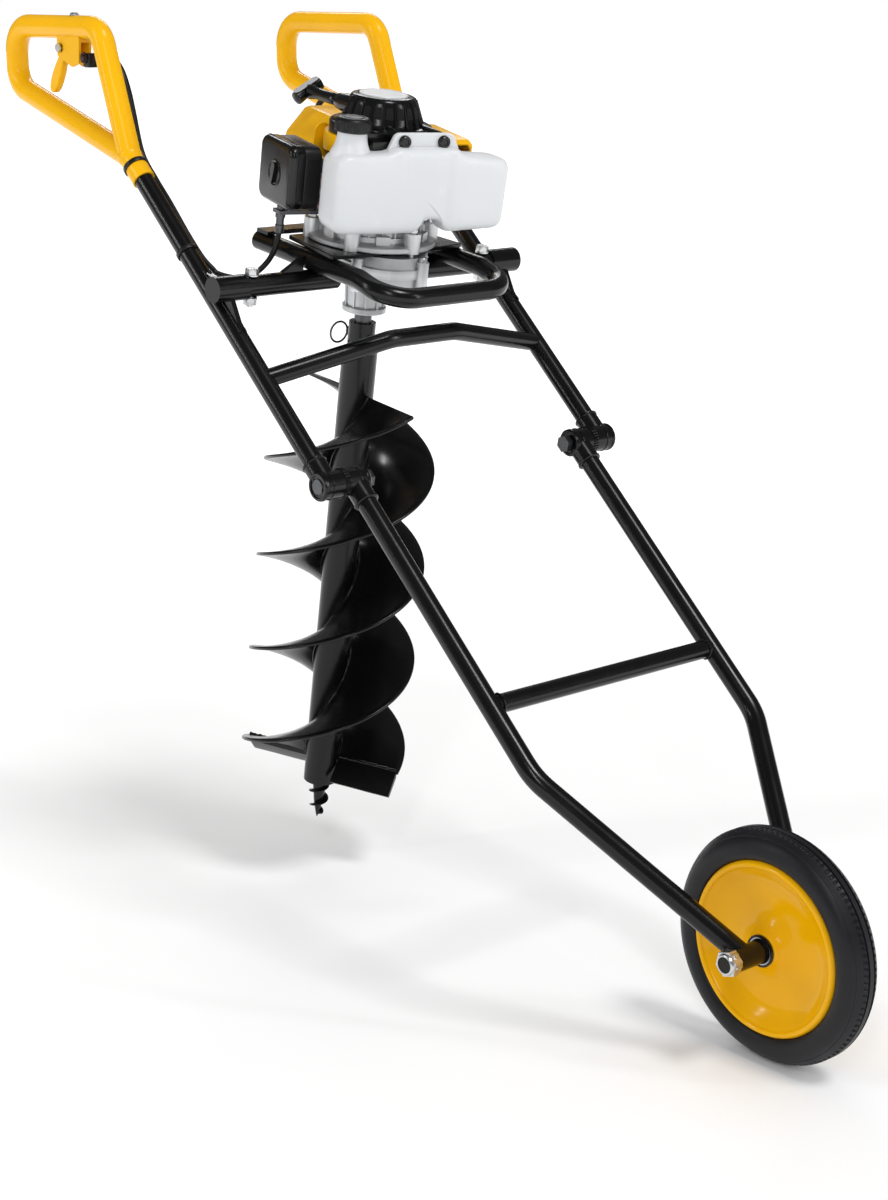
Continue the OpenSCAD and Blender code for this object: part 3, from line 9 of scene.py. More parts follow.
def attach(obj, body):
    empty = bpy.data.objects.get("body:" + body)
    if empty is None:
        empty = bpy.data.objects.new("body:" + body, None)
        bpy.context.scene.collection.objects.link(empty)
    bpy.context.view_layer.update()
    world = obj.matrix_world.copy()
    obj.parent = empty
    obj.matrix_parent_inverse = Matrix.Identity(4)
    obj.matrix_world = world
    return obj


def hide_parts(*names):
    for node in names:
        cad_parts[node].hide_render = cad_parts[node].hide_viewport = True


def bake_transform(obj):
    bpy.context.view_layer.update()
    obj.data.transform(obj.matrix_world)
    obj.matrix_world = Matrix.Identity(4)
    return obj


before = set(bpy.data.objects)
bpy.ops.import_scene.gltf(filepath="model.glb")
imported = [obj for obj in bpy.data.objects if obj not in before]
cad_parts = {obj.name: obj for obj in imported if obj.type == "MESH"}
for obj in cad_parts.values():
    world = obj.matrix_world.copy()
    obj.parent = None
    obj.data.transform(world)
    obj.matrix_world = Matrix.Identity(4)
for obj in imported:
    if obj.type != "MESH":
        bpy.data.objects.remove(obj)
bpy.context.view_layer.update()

# Sizes shared with the solids, in millimetres
PITCH = 42.4
HINGE = (4.560233, 0.0, 543.438992)
AXLE_S = 625.0
TUBE_R = 11.0
GRIP_R = 13.0
UPPER_Y = 198.5
LOWER_Y = 163.1
PIVOT = (-164.571808, 0.0, 731.935346)
POD_TILT = 9.0
PIVOT_FWD = 6.0
ENGINE_YAW = 12.0
PLATE_V = 34.2
CLUTCH_V = 39.2
CRANK_V = 111.2
FLYWHEEL_V = 135.2
STARTER_V = 157.2
ROPE_V = 186.2
PULLEY_R = 27.0
TANK_V = 66.2
TANK_TOP = 147.2
EAR_V = 165.2
CORE_R = 20.5
CORE_FOOT = -638.0
FLIGHT_R = 100.0
FLIGHT_LEAD = 240.0
FLIGHT_TURNS = 1.925
FLIGHT_T = 4.0
FLIGHT_FOOT = -607.0
FLIGHT_ANGLES = (29.0, 209.0)
TYRE_R = 122.0
TYRE_W = 44.0
RIM_R = 91.0
GRIP_CORNER = (-395.094821, 0.0, 1000.606687)
NECK_AT = (65, -68, 0)
EAR_YS = (-12, 36)
CABLE_R = 3.1

# Left and right of the machine, and a millimetre in metres
SIDES = (1, -1)
MM = 0.001


def turn(degrees, axis):
    return Matrix.Rotation(math.radians(degrees), 4, axis)


def shift(x, y, z):
    return Matrix.Translation((x, y, z))


# Places
WORLD = Matrix.Identity(4)
AT_HINGE = shift(*HINGE)
AT_FRAME = AT_HINGE @ turn(PITCH, "Y")
AT_AXLE = AT_FRAME @ shift(AXLE_S, 0, 0) @ turn(-PITCH, "Y")
AT_GRIP = shift(*GRIP_CORNER)
AT_POD = shift(*PIVOT) @ turn(POD_TILT, "Y") @ shift(-PIVOT_FWD, 0, 0)
AT_ENGINE = AT_POD @ turn(-ENGINE_YAW, "Z")
ALONG_Y = turn(-90, "X")
ALONG_X = turn(90, "Y")
# Lays an outline drawn across and up on a wall that faces along X
FACE_X = Matrix(((0, 0, 1, 0), (1, 0, 0, 0), (0, 1, 0, 0), (0, 0, 0, 1)))
# The same for walls that face backwards along X and sideways along Y
FACE_BACK = Matrix(((0, 0, -1, 0), (1, 0, 0, 0), (0, 1, 0, 0), (0, 0, 0, 1)))
FACE_Y = Matrix(((1, 0, 0, 0), (0, 0, 1, 0), (0, 1, 0, 0), (0, 0, 0, 1)))


def add_object(name, data):
    obj = bpy.data.objects.new(name, data)
    bpy.context.scene.collection.objects.link(obj)
    return obj


# Materials

class Shader:
    """A Principled material with helpers for colour spread, roughness and relief."""

    def __init__(self, name, colour, rough, metal=0.0):
        self.mat = bpy.data.materials.new(name)
        self.mat.use_nodes = True
        self.tree = self.mat.node_tree
        self.bsdf = self.tree.nodes["Principled BSDF"]
        self.bsdf.inputs["Base Color"].default_value = (*colour, 1.0)
        self.bsdf.inputs["Roughness"].default_value = rough
        self.bsdf.inputs["Metallic"].default_value = metal
        self.mat.diffuse_color = (*colour, 1.0)
        self.where = self.add("ShaderNodeTexCoord").outputs["Object"]
        self.colour = None
        self.relief = None

    def add(self, kind, fixed=(), **values):
        """Makes a node with its settings, and with fixed values for some of its inputs."""
        node = self.tree.nodes.new(kind)
        for key, value in values.items():
            setattr(node, key, value)
        for key in fixed:
            node.inputs[key].default_value = fixed[key]
        return node

    def link(self, source, target):
        self.tree.links.new(source, target)

    def set(self, **values):
        for key, value in values.items():
            self.bsdf.inputs[key.replace("_", " ")].default_value = value
        return self

    def noise(self, scale, detail=4.0, rough=0.55, stretch=None):
        node = self.add("ShaderNodeTexNoise", {"Scale": scale, "Detail": detail, "Roughness": rough})
        where = self.where
        if stretch:
            mapping = self.add("ShaderNodeMapping", {"Scale": stretch})
            self.link(where, mapping.inputs["Vector"])
            where = mapping.outputs["Vector"]
        self.link(where, node.inputs["Vector"])
        return node.outputs["Fac"]

    def ramp(self, source, low, high):
        node = self.add("ShaderNodeMapRange", {"From Min": low, "From Max": high})
        self.link(source, node.inputs["Value"])
        return node.outputs["Result"]

    def tint(self, factor, colour, amount=1.0):
        """Mixes a colour in where the factor is high."""
        mix = self.add("ShaderNodeMix", data_type="RGBA")
        scaled = self.add("ShaderNodeMath", {1: amount}, operation="MULTIPLY")
        self.link(factor, scaled.inputs[0])
        self.link(scaled.outputs["Value"], mix.inputs["Factor"])
        if self.colour is None:
            mix.inputs["A"].default_value = self.bsdf.inputs["Base Color"].default_value
        else:
            self.link(self.colour, mix.inputs["A"])
        mix.inputs["B"].default_value = (*colour, 1.0)
        self.colour = mix.outputs["Result"]
        self.link(self.colour, self.bsdf.inputs["Base Color"])
        return self

    def cloud(self, scale, low, high, colour, amount, *grain):
        """Mixes a colour in where a noise of this scale is high."""
        return self.tint(self.ramp(self.noise(scale, *grain), low, high), colour, amount)

    def roughen(self, factor, low, high):
        node = self.add("ShaderNodeMapRange", {"To Min": low, "To Max": high})
        self.link(factor, node.inputs["Value"])
        self.link(node.outputs["Result"], self.bsdf.inputs["Roughness"])
        return self

    def bump(self, height, strength, depth):
        node = self.add("ShaderNodeBump", {"Strength": strength, "Distance": depth})
        self.link(height, node.inputs["Height"])
        if self.relief is not None:
            self.link(self.relief, node.inputs["Normal"])
        self.relief = node.outputs["Normal"]
        self.link(self.relief, self.bsdf.inputs["Normal"])
        return self

    def edges(self, low, high):
        return self.ramp(self.add("ShaderNodeNewGeometry").outputs["Pointiness"], low, high)


def powder_coat(name, colour, rough, peel, gloss):
    """Baked paint: a faint orange-peel relief, cloudy gloss, dust specks and a few scuffs."""
    s = Shader(name, colour, rough).set(Specular_IOR_Level=gloss)
    s.cloud(9.0, 0.35, 0.7, tuple(0.84 * c for c in colour), 0.5)
    s.cloud(420.0, 0.62, 0.72, tuple(0.72 * c for c in colour), 0.3, 2.0)
    s.cloud(75.0, 0.66, 0.74, tuple(0.85 * c + 0.006 for c in colour), 0.4, 6.0, 0.7)
    s.roughen(s.noise(30.0), rough - 0.07, rough + 0.09)
    s.bump(s.noise(260.0, 2.0), peel, 0.0006)
    return s.mat


def moulded_plastic(name, colour, rough, grain):
    """Moulded plastic: fine spark-eroded grain and slightly uneven sheen."""
    s = Shader(name, colour, rough).set(Specular_IOR_Level=0.4)
    s.cloud(14.0, 0.4, 0.75, tuple(1.3 * c + 0.001 for c in colour), 0.5)
    s.roughen(s.noise(60.0), rough - 0.08, rough + 0.1)
    s.bump(s.noise(1500.0, 2.0), grain, 0.0004)
    return s.mat


def cast_metal(name, colour, rough, grain):
    """Blasted casting: sandy relief, dull hollows and bright edges."""
    s = Shader(name, colour, rough, 0.85)
    s.cloud(40.0, 0.4, 0.75, tuple(0.72 * c for c in colour), 0.6)
    s.tint(s.edges(0.54, 0.66), (0.86, 0.87, 0.88), 0.7)
    s.roughen(s.noise(90.0), rough - 0.1, rough + 0.12)
    s.bump(s.noise(1100.0, 3.0), grain, 0.0005)
    return s.mat


def turned_metal(name, colour, rough, stretch):
    """Plated or machined steel with fine tool marks."""
    s = Shader(name, colour, rough, 1.0)
    marks = s.noise(500.0, 2.0, 0.5, stretch)
    s.cloud(70.0, 0.45, 0.8, tuple(0.7 * c for c in colour), 0.6)
    s.roughen(marks, rough - 0.08, rough + 0.14)
    s.bump(marks, 0.12, 0.0003)
    return s.mat


def tyre_rubber():
    s = Shader("tyre_rubber", (0.0062, 0.0064, 0.0088), 0.5).set(Specular_IOR_Level=0.32)
    s.cloud(26.0, 0.4, 0.8, (0.009, 0.0093, 0.012), 0.6)
    s.cloud(7.0, 0.55, 0.8, (0.014, 0.0135, 0.013), 0.3)
    s.roughen(s.noise(80.0), 0.36, 0.52)
    s.bump(s.noise(900.0, 3.0), 0.14, 0.0005)
    return s.mat


def tank_plastic():
    """Blow-moulded milky plastic."""
    s = Shader("tank_plastic", (0.64, 0.655, 0.67), 0.36)
    s.cloud(6.0, 0.42, 0.7, (0.59, 0.61, 0.63), 0.6)
    s.cloud(55.0, 0.6, 0.8, (0.69, 0.695, 0.695), 0.5)
    s.roughen(s.noise(45.0), 0.26, 0.42)
    s.bump(s.noise(130.0, 3.0), 0.06, 0.0008)
    s.set(Subsurface_Weight=0.2, Subsurface_Radius=(0.02, 0.02, 0.02), Subsurface_Scale=0.2)
    return s.mat


def drill_paint():
    """Thick black enamel on the drill, with fine scuffs across it."""
    s = Shader("drill_paint", (0.0026, 0.0026, 0.0028), 0.2).set(Specular_IOR_Level=0.34)
    s.cloud(8.0, 0.45, 0.75, (0.0045, 0.0045, 0.0048), 0.8)
    s.cloud(220.0, 0.7, 0.8, (0.03, 0.03, 0.031), 0.25, 3.0, 0.6, (1.0, 1.0, 9.0))
    s.roughen(s.noise(24.0), 0.13, 0.3)
    s.bump(s.noise(170.0, 2.0), 0.05, 0.0008)
    return s.mat


def braided_rope():
    s = Shader("braided_rope", (0.62, 0.58, 0.48), 0.9)
    s.cloud(900.0, 0.4, 0.65, (0.36, 0.33, 0.26), 0.9, 2.0, 0.5, (1.0, 3.0, 3.0))
    s.bump(s.noise(900.0, 2.0, 0.5, (1.0, 3.0, 3.0)), 0.5, 0.0006)
    return s.mat


YELLOW = powder_coat("yellow_coat", (0.850, 0.440, 0.001), 0.24, 0.04, 0.22)
RIM_YELLOW = powder_coat("rim_yellow", (0.870, 0.440, 0.001), 0.14, 0.03, 0.22)
BLACK_COAT = powder_coat("black_coat", (0.0030, 0.0031, 0.0035), 0.22, 0.05, 0.35)
PLASTIC = moulded_plastic("black_plastic", (0.0042, 0.0044, 0.0050), 0.38, 0.16)
SHINY_PLASTIC = moulded_plastic("shiny_plastic", (0.0034, 0.0035, 0.0040), 0.20, 0.05)
# Pale grey: a painted highlight on the starter handle's upper side
HIGHLIGHT_GREY = moulded_plastic("highlight_grey_plastic", (0.34, 0.345, 0.355), 0.26, 0.05)
STOP_RED = moulded_plastic("stop_red", (0.03, 0.004, 0.0035), 0.33, 0.1)
PALE = moulded_plastic("pale_plastic", (0.62, 0.54, 0.24), 0.4, 0.1)
BULB = moulded_plastic("soft_bulb", (0.50, 0.30, 0.25), 0.3, 0.05)
PORCELAIN = moulded_plastic("porcelain", (0.72, 0.72, 0.69), 0.2, 0.02)
CABLE = moulded_plastic("cable_sheath", (0.004, 0.004, 0.0043), 0.40, 0.1)
CAST = cast_metal("cast_alloy", (0.56, 0.57, 0.58), 0.42, 0.25)
ROUGH_CAST = cast_metal("rough_cast", (0.44, 0.45, 0.46), 0.5, 0.4)
ZINC = turned_metal("zinc_plate", (0.66, 0.67, 0.68), 0.28, (1.0, 8.0, 1.0))
DARK_ZINC = turned_metal("dark_plate", (0.11, 0.112, 0.118), 0.30, (1.0, 8.0, 1.0))
STEEL = turned_metal("machined_steel", (0.46, 0.47, 0.48), 0.32, (1.0, 1.0, 12.0))
BRIGHT = moulded_plastic("bright_disc", (0.54, 0.55, 0.56), 0.3, 0.02)
BRASS = turned_metal("brass_part", (0.64, 0.44, 0.16), 0.3, (1.0, 1.0, 6.0))
# Near-black sheet colour: painted shade in the starter's vent windows
VENT_SHADE = moulded_plastic("vent_shadow", (0.0012, 0.0012, 0.0013), 0.75, 0.1)
# Heat-proof black of the muffler, axle ends and filter seam; also painted shade in the slots of the cowl and
# the muffler guard
HEAT_BLACK_AND_SLOT_SHADE = powder_coat("heat_black_and_slot_shade", (0.012, 0.0112, 0.0102), 0.6, 0.2, 0.3)
TYRE = tyre_rubber()
TANK = tank_plastic()
DRILL = drill_paint()
ROPE = braided_rope()


# Mesh tools: points are in millimetres in a place's own axes

def metres(vector):
    return tuple(MM * c for c in vector)


def piece(name, part, place, material, body, replaces=(), smooth=40.0):
    """Makes a mesh object that rides on a body, if one is named; edges sharper than the angle stay crisp."""
    points, faces = part
    data = bpy.data.meshes.new(name)
    data.from_pydata([metres(place @ Vector(p)) for p in points], [], faces)
    data.update()
    obj = add_object(name, data)
    finish_mesh(obj, material, smooth)
    if body:
        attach(obj, body)
    if replaces:
        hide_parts(*replaces)
    return obj


def on_engine(name, part, material, replaces=(), smooth=40.0):
    """A piece drawn in the engine's axes that rides on the power head."""
    return piece(name, part, AT_ENGINE, material, "power_head", replaces, smooth)


def finish_mesh(obj, material, smooth):
    """Welds doubles, turns faces outwards and sets shading."""
    bm = bmesh.new()
    bm.from_mesh(obj.data)
    bmesh.ops.remove_doubles(bm, verts=bm.verts, dist=1e-6)
    bmesh.ops.recalc_face_normals(bm, faces=bm.faces)
    limit = math.radians(smooth)
    for edge in bm.edges:
        edge.smooth = len(edge.link_faces) == 2 and edge.calc_face_angle(0.0) < limit
    for face in bm.faces:
        face.smooth = True
    bm.to_mesh(obj.data)
    bm.free()
    obj.data.materials.clear()
    obj.data.materials.append(material)


def apply_modifiers(obj):
    """Keeps what the object's modifiers make as its mesh, with smooth shading."""
    depsgraph = bpy.context.evaluated_depsgraph_get()
    made = bpy.data.meshes.new_from_object(obj.evaluated_get(depsgraph))
    old = obj.data
    obj.modifiers.clear()
    obj.data = made
    bpy.data.meshes.remove(old)
    for polygon in made.polygons:
        polygon.use_smooth = True


def soften(obj, width_mm, segments=3, angle=35.0):
    """Rounds the sharp edges."""
    modifier = obj.modifiers.new("round", "BEVEL")
    modifier.width = MM * width_mm
    modifier.segments = segments
    modifier.limit_method = "ANGLE"
    modifier.angle_limit = math.radians(angle)
    modifier.harden_normals = False
    apply_modifiers(obj)


def thicken(obj, thickness_mm):
    """Makes sheet metal of a bare surface, inwards."""
    modifier = obj.modifiers.new("sheet", "SOLIDIFY")
    modifier.thickness = MM * thickness_mm
    modifier.offset = -1.0
    apply_modifiers(obj)


def lathe(profile, steps, shape=None):
    """Turns a closed profile of (radius, height) about Z; shape(angle, radius, height) can move a point."""
    points = []
    faces = []
    n = len(profile)
    for i in range(steps):
        a = math.tau * i / steps
        j = (i + 1) % steps
        for k, (r, h) in enumerate(profile):
            if shape:
                r, h = shape(a, r, h)
            points.append((r * math.cos(a), r * math.sin(a), h))
            m = (k + 1) % n
            faces.append((i * n + k, j * n + k, j * n + m, i * n + m))
    return points, faces


def raised(profile, level, inner=0.0):
    """A profile drawn from a level, and from an inner radius, moved to its place."""
    return [(inner + r, level + h) for r, h in profile]


def flipped(profile, sign):
    """The profile as it is, or mirrored for the other side."""
    return [(r, sign * h) for r, h in profile]


def two_sided(profile, steps, shape=None):
    return join(*[lathe(flipped(profile, sign), steps, shape) for sign in SIDES])


def arc(cx, cy, r, start, end, n):
    """Points of an arc in a profile, angles in degrees."""
    return [(cx + r * math.cos(math.radians(start + (end - start) * k / n)),
             cy + r * math.sin(math.radians(start + (end - start) * k / n))) for k in range(n + 1)]


def prism(outline, low, high):
    """An outline of (x, y) raised from low to high."""
    n = len(outline)
    points = [(x, y, low) for x, y in outline] + [(x, y, high) for x, y in outline]
    faces = [tuple(range(n - 1, -1, -1)), tuple(range(n, 2 * n))]
    faces += [(k, (k + 1) % n, n + (k + 1) % n, n + k) for k in range(n)]
    return points, faces


def box(low, high):
    outline = [(low[0], low[1]), (high[0], low[1]), (high[0], high[1]), (low[0], high[1])]
    return prism(outline, low[2], high[2])


def join(*parts):
    points = []
    faces = []
    for more_points, more_faces in parts:
        base = len(points)
        points += list(more_points)
        faces += [tuple(base + k for k in face) for face in more_faces]
    return points, faces


def moved(part, place):
    return [tuple(place @ Vector(p)) for p in part[0]], part[1]


def quads(rings, n, closed=False):
    """Faces between rings of n points each, numbered one ring after another."""
    faces = []
    for i in range(rings if closed else rings - 1):
        j = (i + 1) % rings
        for k in range(n):
            m = (k + 1) % n
            faces.append((i * n + k, i * n + m, j * n + m, j * n + k))
    return faces


def loft(rings):
    """Joins closed rings of points, with caps at both ends."""
    count = len(rings)
    n = len(rings[0])
    caps = [tuple(range(n - 1, -1, -1)), tuple((count - 1) * n + k for k in range(n))]
    return [p for ring in rings for p in ring], quads(count, n) + caps


def rounded_outline(corners, radius, steps):
    """A polygon with each corner rounded by its own radius."""
    outline = []
    n = len(corners)
    for i in range(n):
        p, q, r = Vector(corners[i - 1]), Vector(corners[i]), Vector(corners[(i + 1) % n])
        size = radius[i] if isinstance(radius, (list, tuple)) else radius
        u = (p - q).normalized()
        w = (r - q).normalized()
        half = math.acos(max(-1, min(1, u.dot(w)))) / 2
        reach = size / math.tan(half)
        reach = min(reach, 0.45 * (p - q).length, 0.45 * (r - q).length)
        a, b = q + u * reach, q + w * reach
        for k in range(steps + 1):
            t = k / steps
            outline.append(tuple((1 - t) ** 2 * a + 2 * t * (1 - t) * q + t * t * b))
    return outline


def even_outline(outline, count):
    """The same closed outline with evenly spaced points."""
    sides = [(Vector(outline[i - 1]), Vector(outline[i])) for i in range(len(outline))]
    gap = sum((b - a).length for a, b in sides) / count
    points = []
    walked = 0.0
    for a, b in sides:
        length = (b - a).length
        while len(points) < count and len(points) * gap <= walked + length:
            points.append(tuple(a.lerp(b, (len(points) * gap - walked) / max(length, 1e-9))))
        walked += length
    return points


def rounded_rect(x0, x1, z0, z1, r, steps=6):
    outline = []
    for cx, cz, start in ((x1 - r, z1 - r, 0), (x0 + r, z1 - r, 90), (x0 + r, z0 + r, 180),
                          (x1 - r, z0 + r, 270)):
        outline += arc(cx, cz, r, start, start + 90, steps)
    return outline


def pillow(low, high, corner, front, back, steps=6):
    """A box with round corners seen from the front (-Y) and rounded front and back edges."""
    rings = []
    for k in range(steps + 1):
        t = math.radians(90 * k / steps)
        rings.append((low[1] + front * (1 - math.cos(t)), front * (1 - math.sin(t))))
    for k in range(steps + 1):
        t = math.radians(90 * k / steps)
        rings.append((high[1] - back * (1 - math.sin(t)), back * (1 - math.cos(t))))
    made = []
    for y, inset in rings:
        outline = rounded_rect(low[0] + inset, high[0] - inset, low[2] + inset, high[2] - inset,
                               max(corner - inset, 1.0))
        made.append([(x, y, z) for x, z in outline])
    return loft(made)


def smooth_path(points, steps):
    """A rounded path through the points."""
    path = []
    last = len(points) - 1
    for i in range(last):
        a, b = Vector(points[max(i - 1, 0)]), Vector(points[i])
        c, d = Vector(points[i + 1]), Vector(points[min(i + 2, last)])
        for k in range(steps):
            t = k / steps
            path.append(0.5 * (2 * b + (c - a) * t + (2 * a - 5 * b + 4 * c - d) * t * t
                               + (3 * b - a - 3 * c + d) * t ** 3))
    path.append(Vector(points[last]))
    return path


def tube(path, radius, sides=16, shape=None):
    """A round bar along a path; shape(share, angle) scales the radius at a share of the way."""
    path = [Vector(p) for p in path]
    rings = []
    last = len(path) - 1
    side = None
    for i, p in enumerate(path):
        way = (path[min(i + 1, last)] - path[max(i - 1, 0)]).normalized()
        if side is None:
            side = way.orthogonal().normalized()
        side = (side - way * side.dot(way)).normalized()
        other = way.cross(side)
        ring = []
        for k in range(sides):
            a = math.tau * k / sides
            r = radius * (shape(i / last, a) if shape else 1.0)
            ring.append(tuple(p + r * (math.cos(a) * side + math.sin(a) * other)))
        rings.append(ring)
    return loft(rings)


def hex_head(across, height):
    """A bolt head with its chamfered crown and washer face."""
    sides = 24
    flat = across / 2
    sixth = math.pi / 6
    rings = []
    # Each ring: its round radius, or none for the hexagon, and its share of the height
    for radius, level in ((0.94 * flat, 0.0), (None, 0.06), (None, 0.8), (flat, 1.0),
                          (0.6 * flat / 0.84, 1.0)):
        ring = []
        for k in range(sides):
            a = math.tau * k / sides
            part = (a + sixth) % (2 * sixth) - sixth
            corner = part - sixth if part > 0 else part + sixth
            reach = radius or flat / math.cos(corner)
            ring.append((reach * math.cos(a), reach * math.sin(a), height * level))
        rings.append(ring)
    return loft(rings)


def weld_ring(center_path, radius):
    """A lumpy weld bead along a closed path."""
    n = len(center_path)
    points = []
    sides = 8
    for i, p in enumerate(center_path):
        way = (Vector(center_path[(i + 1) % n]) - Vector(center_path[i - 1])).normalized()
        side = way.orthogonal().normalized()
        other = way.cross(side)
        lump = 1.0 + 0.18 * math.sin(i * 1.9) + 0.1 * math.sin(i * 0.73 + 1.0)
        for k in range(sides):
            a = math.tau * k / sides
            points.append(tuple(Vector(p) + radius * lump * (math.cos(a) * side + math.sin(a) * other)))
    return points, quads(n, sides, True)


def circle_path(r, n, place):
    angles = [math.tau * k / n for k in range(n)]
    return [place @ Vector((r * math.cos(a), r * math.sin(a), 0)) for a in angles]


# Drill

def drill_flight():
    per_turn = 120
    count = round(FLIGHT_TURNS * per_turn)
    weld_r = CORE_R + 0.8
    radii = [CORE_R + 0.1, 30.0, 42.0, 58.0, 76.0, 92.0, FLIGHT_R - 1.0]
    ring = [(r, 0.0) for r in radii] + [(FLIGHT_R, 0.9), (FLIGHT_R, FLIGHT_T - 0.9)]
    ring += [(r, FLIGHT_T) for r in reversed(radii)]
    n = len(ring)
    flights = []
    beads = []

    def lumps(t, a):
        return 1.0 + 0.16 * math.sin(t * 700) + 0.08 * math.sin(t * 233)

    for foot_angle in FLIGHT_ANGLES:
        points = []
        lines = ([], [])
        for i in range(count + 1):
            a = math.radians(foot_angle + 360 * i / per_turn)
            v = FLIGHT_FOOT + FLIGHT_LEAD * i / per_turn
            points += [(r * math.cos(a), r * math.sin(a), v + up) for r, up in ring]
            for line, up in zip(lines, (-0.6, FLIGHT_T + 0.6)):
                line.append((weld_r * math.cos(a), weld_r * math.sin(a), v + up))
        ends = [tuple(range(n)), tuple(count * n + k for k in range(n - 1, -1, -1))]
        flights.append((points, quads(count + 1, n) + ends))
        for line in lines:
            beads.append(tube(line, 2.0, 8, lumps))
    piece("drill_flights", join(*flights), AT_POD, DRILL, "auger", ("auger_flight",), 50)
    piece("drill_weld", join(*beads), AT_POD, DRILL, "auger")


def drill_tip():
    # Each blade is a plate at 45 degrees under a flight's lower end, ground along its lower edge
    section = [(-0.2, 4.0), (-21.6, -17.4), (-23.2, -20.6), (-19.4, -23.2), (-16.6, -21.0), (-0.2, -4.5)]
    stations = [(CORE_R + 0.7, 0.0), (45.0, 0.3), (72.0, -0.2), (98.2, 0.0)]
    blade = loft([[(x, y + wave, FLIGHT_FOOT + z) for y, z in section] for x, wave in stations])
    blades = join(*[moved(blade, turn(foot_angle, "Z")) for foot_angle in FLIGHT_ANGLES])
    soften(piece("cutting_blades", blades, AT_POD, DRILL, "auger"), 0.6, 2)
    line = [(CORE_R + 1 + 76 * k / 40, 0.2, FLIGHT_FOOT + 4.6) for k in range(41)]
    bead = tube(line, 2.2, 8, lambda t, a: 1.0 + 0.25 * math.sin(t * 70) + 0.15 * math.sin(t * 33))
    beads = join(*[moved(bead, turn(foot_angle, "Z")) for foot_angle in FLIGHT_ANGLES])
    piece("blade_welds", beads, AT_POD, DRILL, "auger", (), 60)
    # Pilot point: a tapered core with a coarse thread
    length = 53.0
    foot = CORE_FOOT
    core = lathe([(0.2, foot - length), (1.6, foot - length + 4), (5.4, foot - 32), (8.2, foot - 10),
                  (9.0, foot - 2), (13.0, foot - 0.05), (0.2, foot - 0.05)], 40)
    points = []
    count = 168
    turns = 2.2
    for i in range(count + 1):
        t = i / count
        a = math.radians(FLIGHT_ANGLES[0] + 360 * turns * t)
        v = foot - length + 6 + (length - 11) * t
        root = 1.0 + 6.6 * t
        reach = root + 0.6 + 7.4 * math.sin(math.pi * min(1.0, 0.2 + 0.72 * t)) ** 0.6
        for r, up in ((root, -2.4), (reach, -0.5), (reach, 0.5), (root, 2.4)):
            points.append((r * math.cos(a), r * math.sin(a), v + up))
    ends = [(0, 1, 2, 3), (4 * count + 3, 4 * count + 2, 4 * count + 1, 4 * count)]
    screw = join(core, (points, quads(count + 1, 4) + ends))
    piece("pilot_point", screw, AT_POD, DRILL, "auger", ("auger_tip",), 35)


# Wheel

def wheel():
    place = AT_AXLE @ ALONG_Y
    w = TYRE_W / 2
    bead = RIM_R + 0.1
    side = raised([(0, 5), (1.0, 3.4), (3.0, 1.8), (6, 0.6), (10, 0), (14, 0.4), (18, 1.9), (21, 3.8),
                   (23.4, 6.0), (23.7, 6.8), (24.5, 6.9), (26.6, 9.4), (28.6, 12.4), (29.8, 14.4),
                   (30.6, 16.0)], -w, bead)
    groove = [(TYRE_R, -5.2), (TYRE_R - 2.2, -4.6), (TYRE_R - 2.2, -3.4), (TYRE_R, -2.8)]
    half = side + groove + [(TYRE_R, -1.4), (TYRE_R, 0.0)]
    profile = half + flipped(reversed(half[:-1]), -1)
    lugs = 110

    def tread(a, r, h):
        if r < bead + 29 or abs(h) < 5.4:
            return r, h
        phase = (a * lugs / math.tau + (0.5 if h > 0 else 0.0)) % 1.0
        return (r - 1.8 if phase > 0.66 else r), h

    piece("tyre_tread", lathe(profile, lugs * 6, tread), place, TYRE, "wheel", ("tyre",), 38)
    face = [(14.1, -1.0)] + arc(16.6, -2.4, 1.4, 90, 30, 4)
    face += [(19.0, -4.6), (22.0, -8.0), (26.0, -11.4), (31.0, -14.2), (37.0, -16.2), (44.0, -17.6),
             (52.0, -18.2), (60.0, -17.6), (67.0, -15.8), (73.0, -12.6), (78.0, -8.6), (82.0, -4.8)]
    face += arc(86.9, -4.0, 3.2, 170, 35, 10) + [(90.2, -3.2), (91.0, -4.4)]
    face = raised(face, w)
    rim = lathe(face + flipped(reversed(face), -1), 192)
    piece("rim_pressing", rim, place, RIM_YELLOW, "wheel", ("wheel_rim",), 60)
    ring = raised([(8.06, -12), (14.0, -12), (14.0, -1), (15.6, -1), (16.6, -0.2), (16.8, 1.6), (16.2, 2.6),
                   (14.8, 2.8), (14.2, 1.4), (13.2, 1.4), (12.6, 4.4), (8.06, 4.4)], w)
    piece("bearing_rings", two_sided(ring, 72), place, SHINY_PLASTIC, "wheel",
          ("wheel_bearings",), 30)
    lip = raised([(13.3, 1.2), (14.1, 1.2), (14.1, 1.9), (13.3, 1.9)], w)
    piece("bearing_lips", two_sided(lip, 72), place, ZINC, "wheel", (), 30)
    collar = lathe([(8.4, 8.6), (11.4, 8.6), (11.2, 10.6), (10.4, 12.4), (9.4, 13.0), (8.4, 12.8)], 48)
    thread = lathe([(0.2, 9), (8.3, 9), (8.3, 12.2), (7.4, 12.8), (0.2, 12.9)], 36)
    spots = [turn(-90 * sign, "X") @ shift(0, 0, 63) for sign in SIDES]
    nuts = [moved(join(hex_head(24, 9.0), collar), spot) for spot in spots]
    piece("axle_nuts", join(*nuts), AT_AXLE, ZINC, "lower_frame", (), 30)
    threads = [moved(thread, spot) for spot in spots]
    piece("axle_ends", join(*threads), AT_AXLE, HEAT_BLACK_AND_SLOT_SHADE, "lower_frame", (), 30)


# Fold hinge

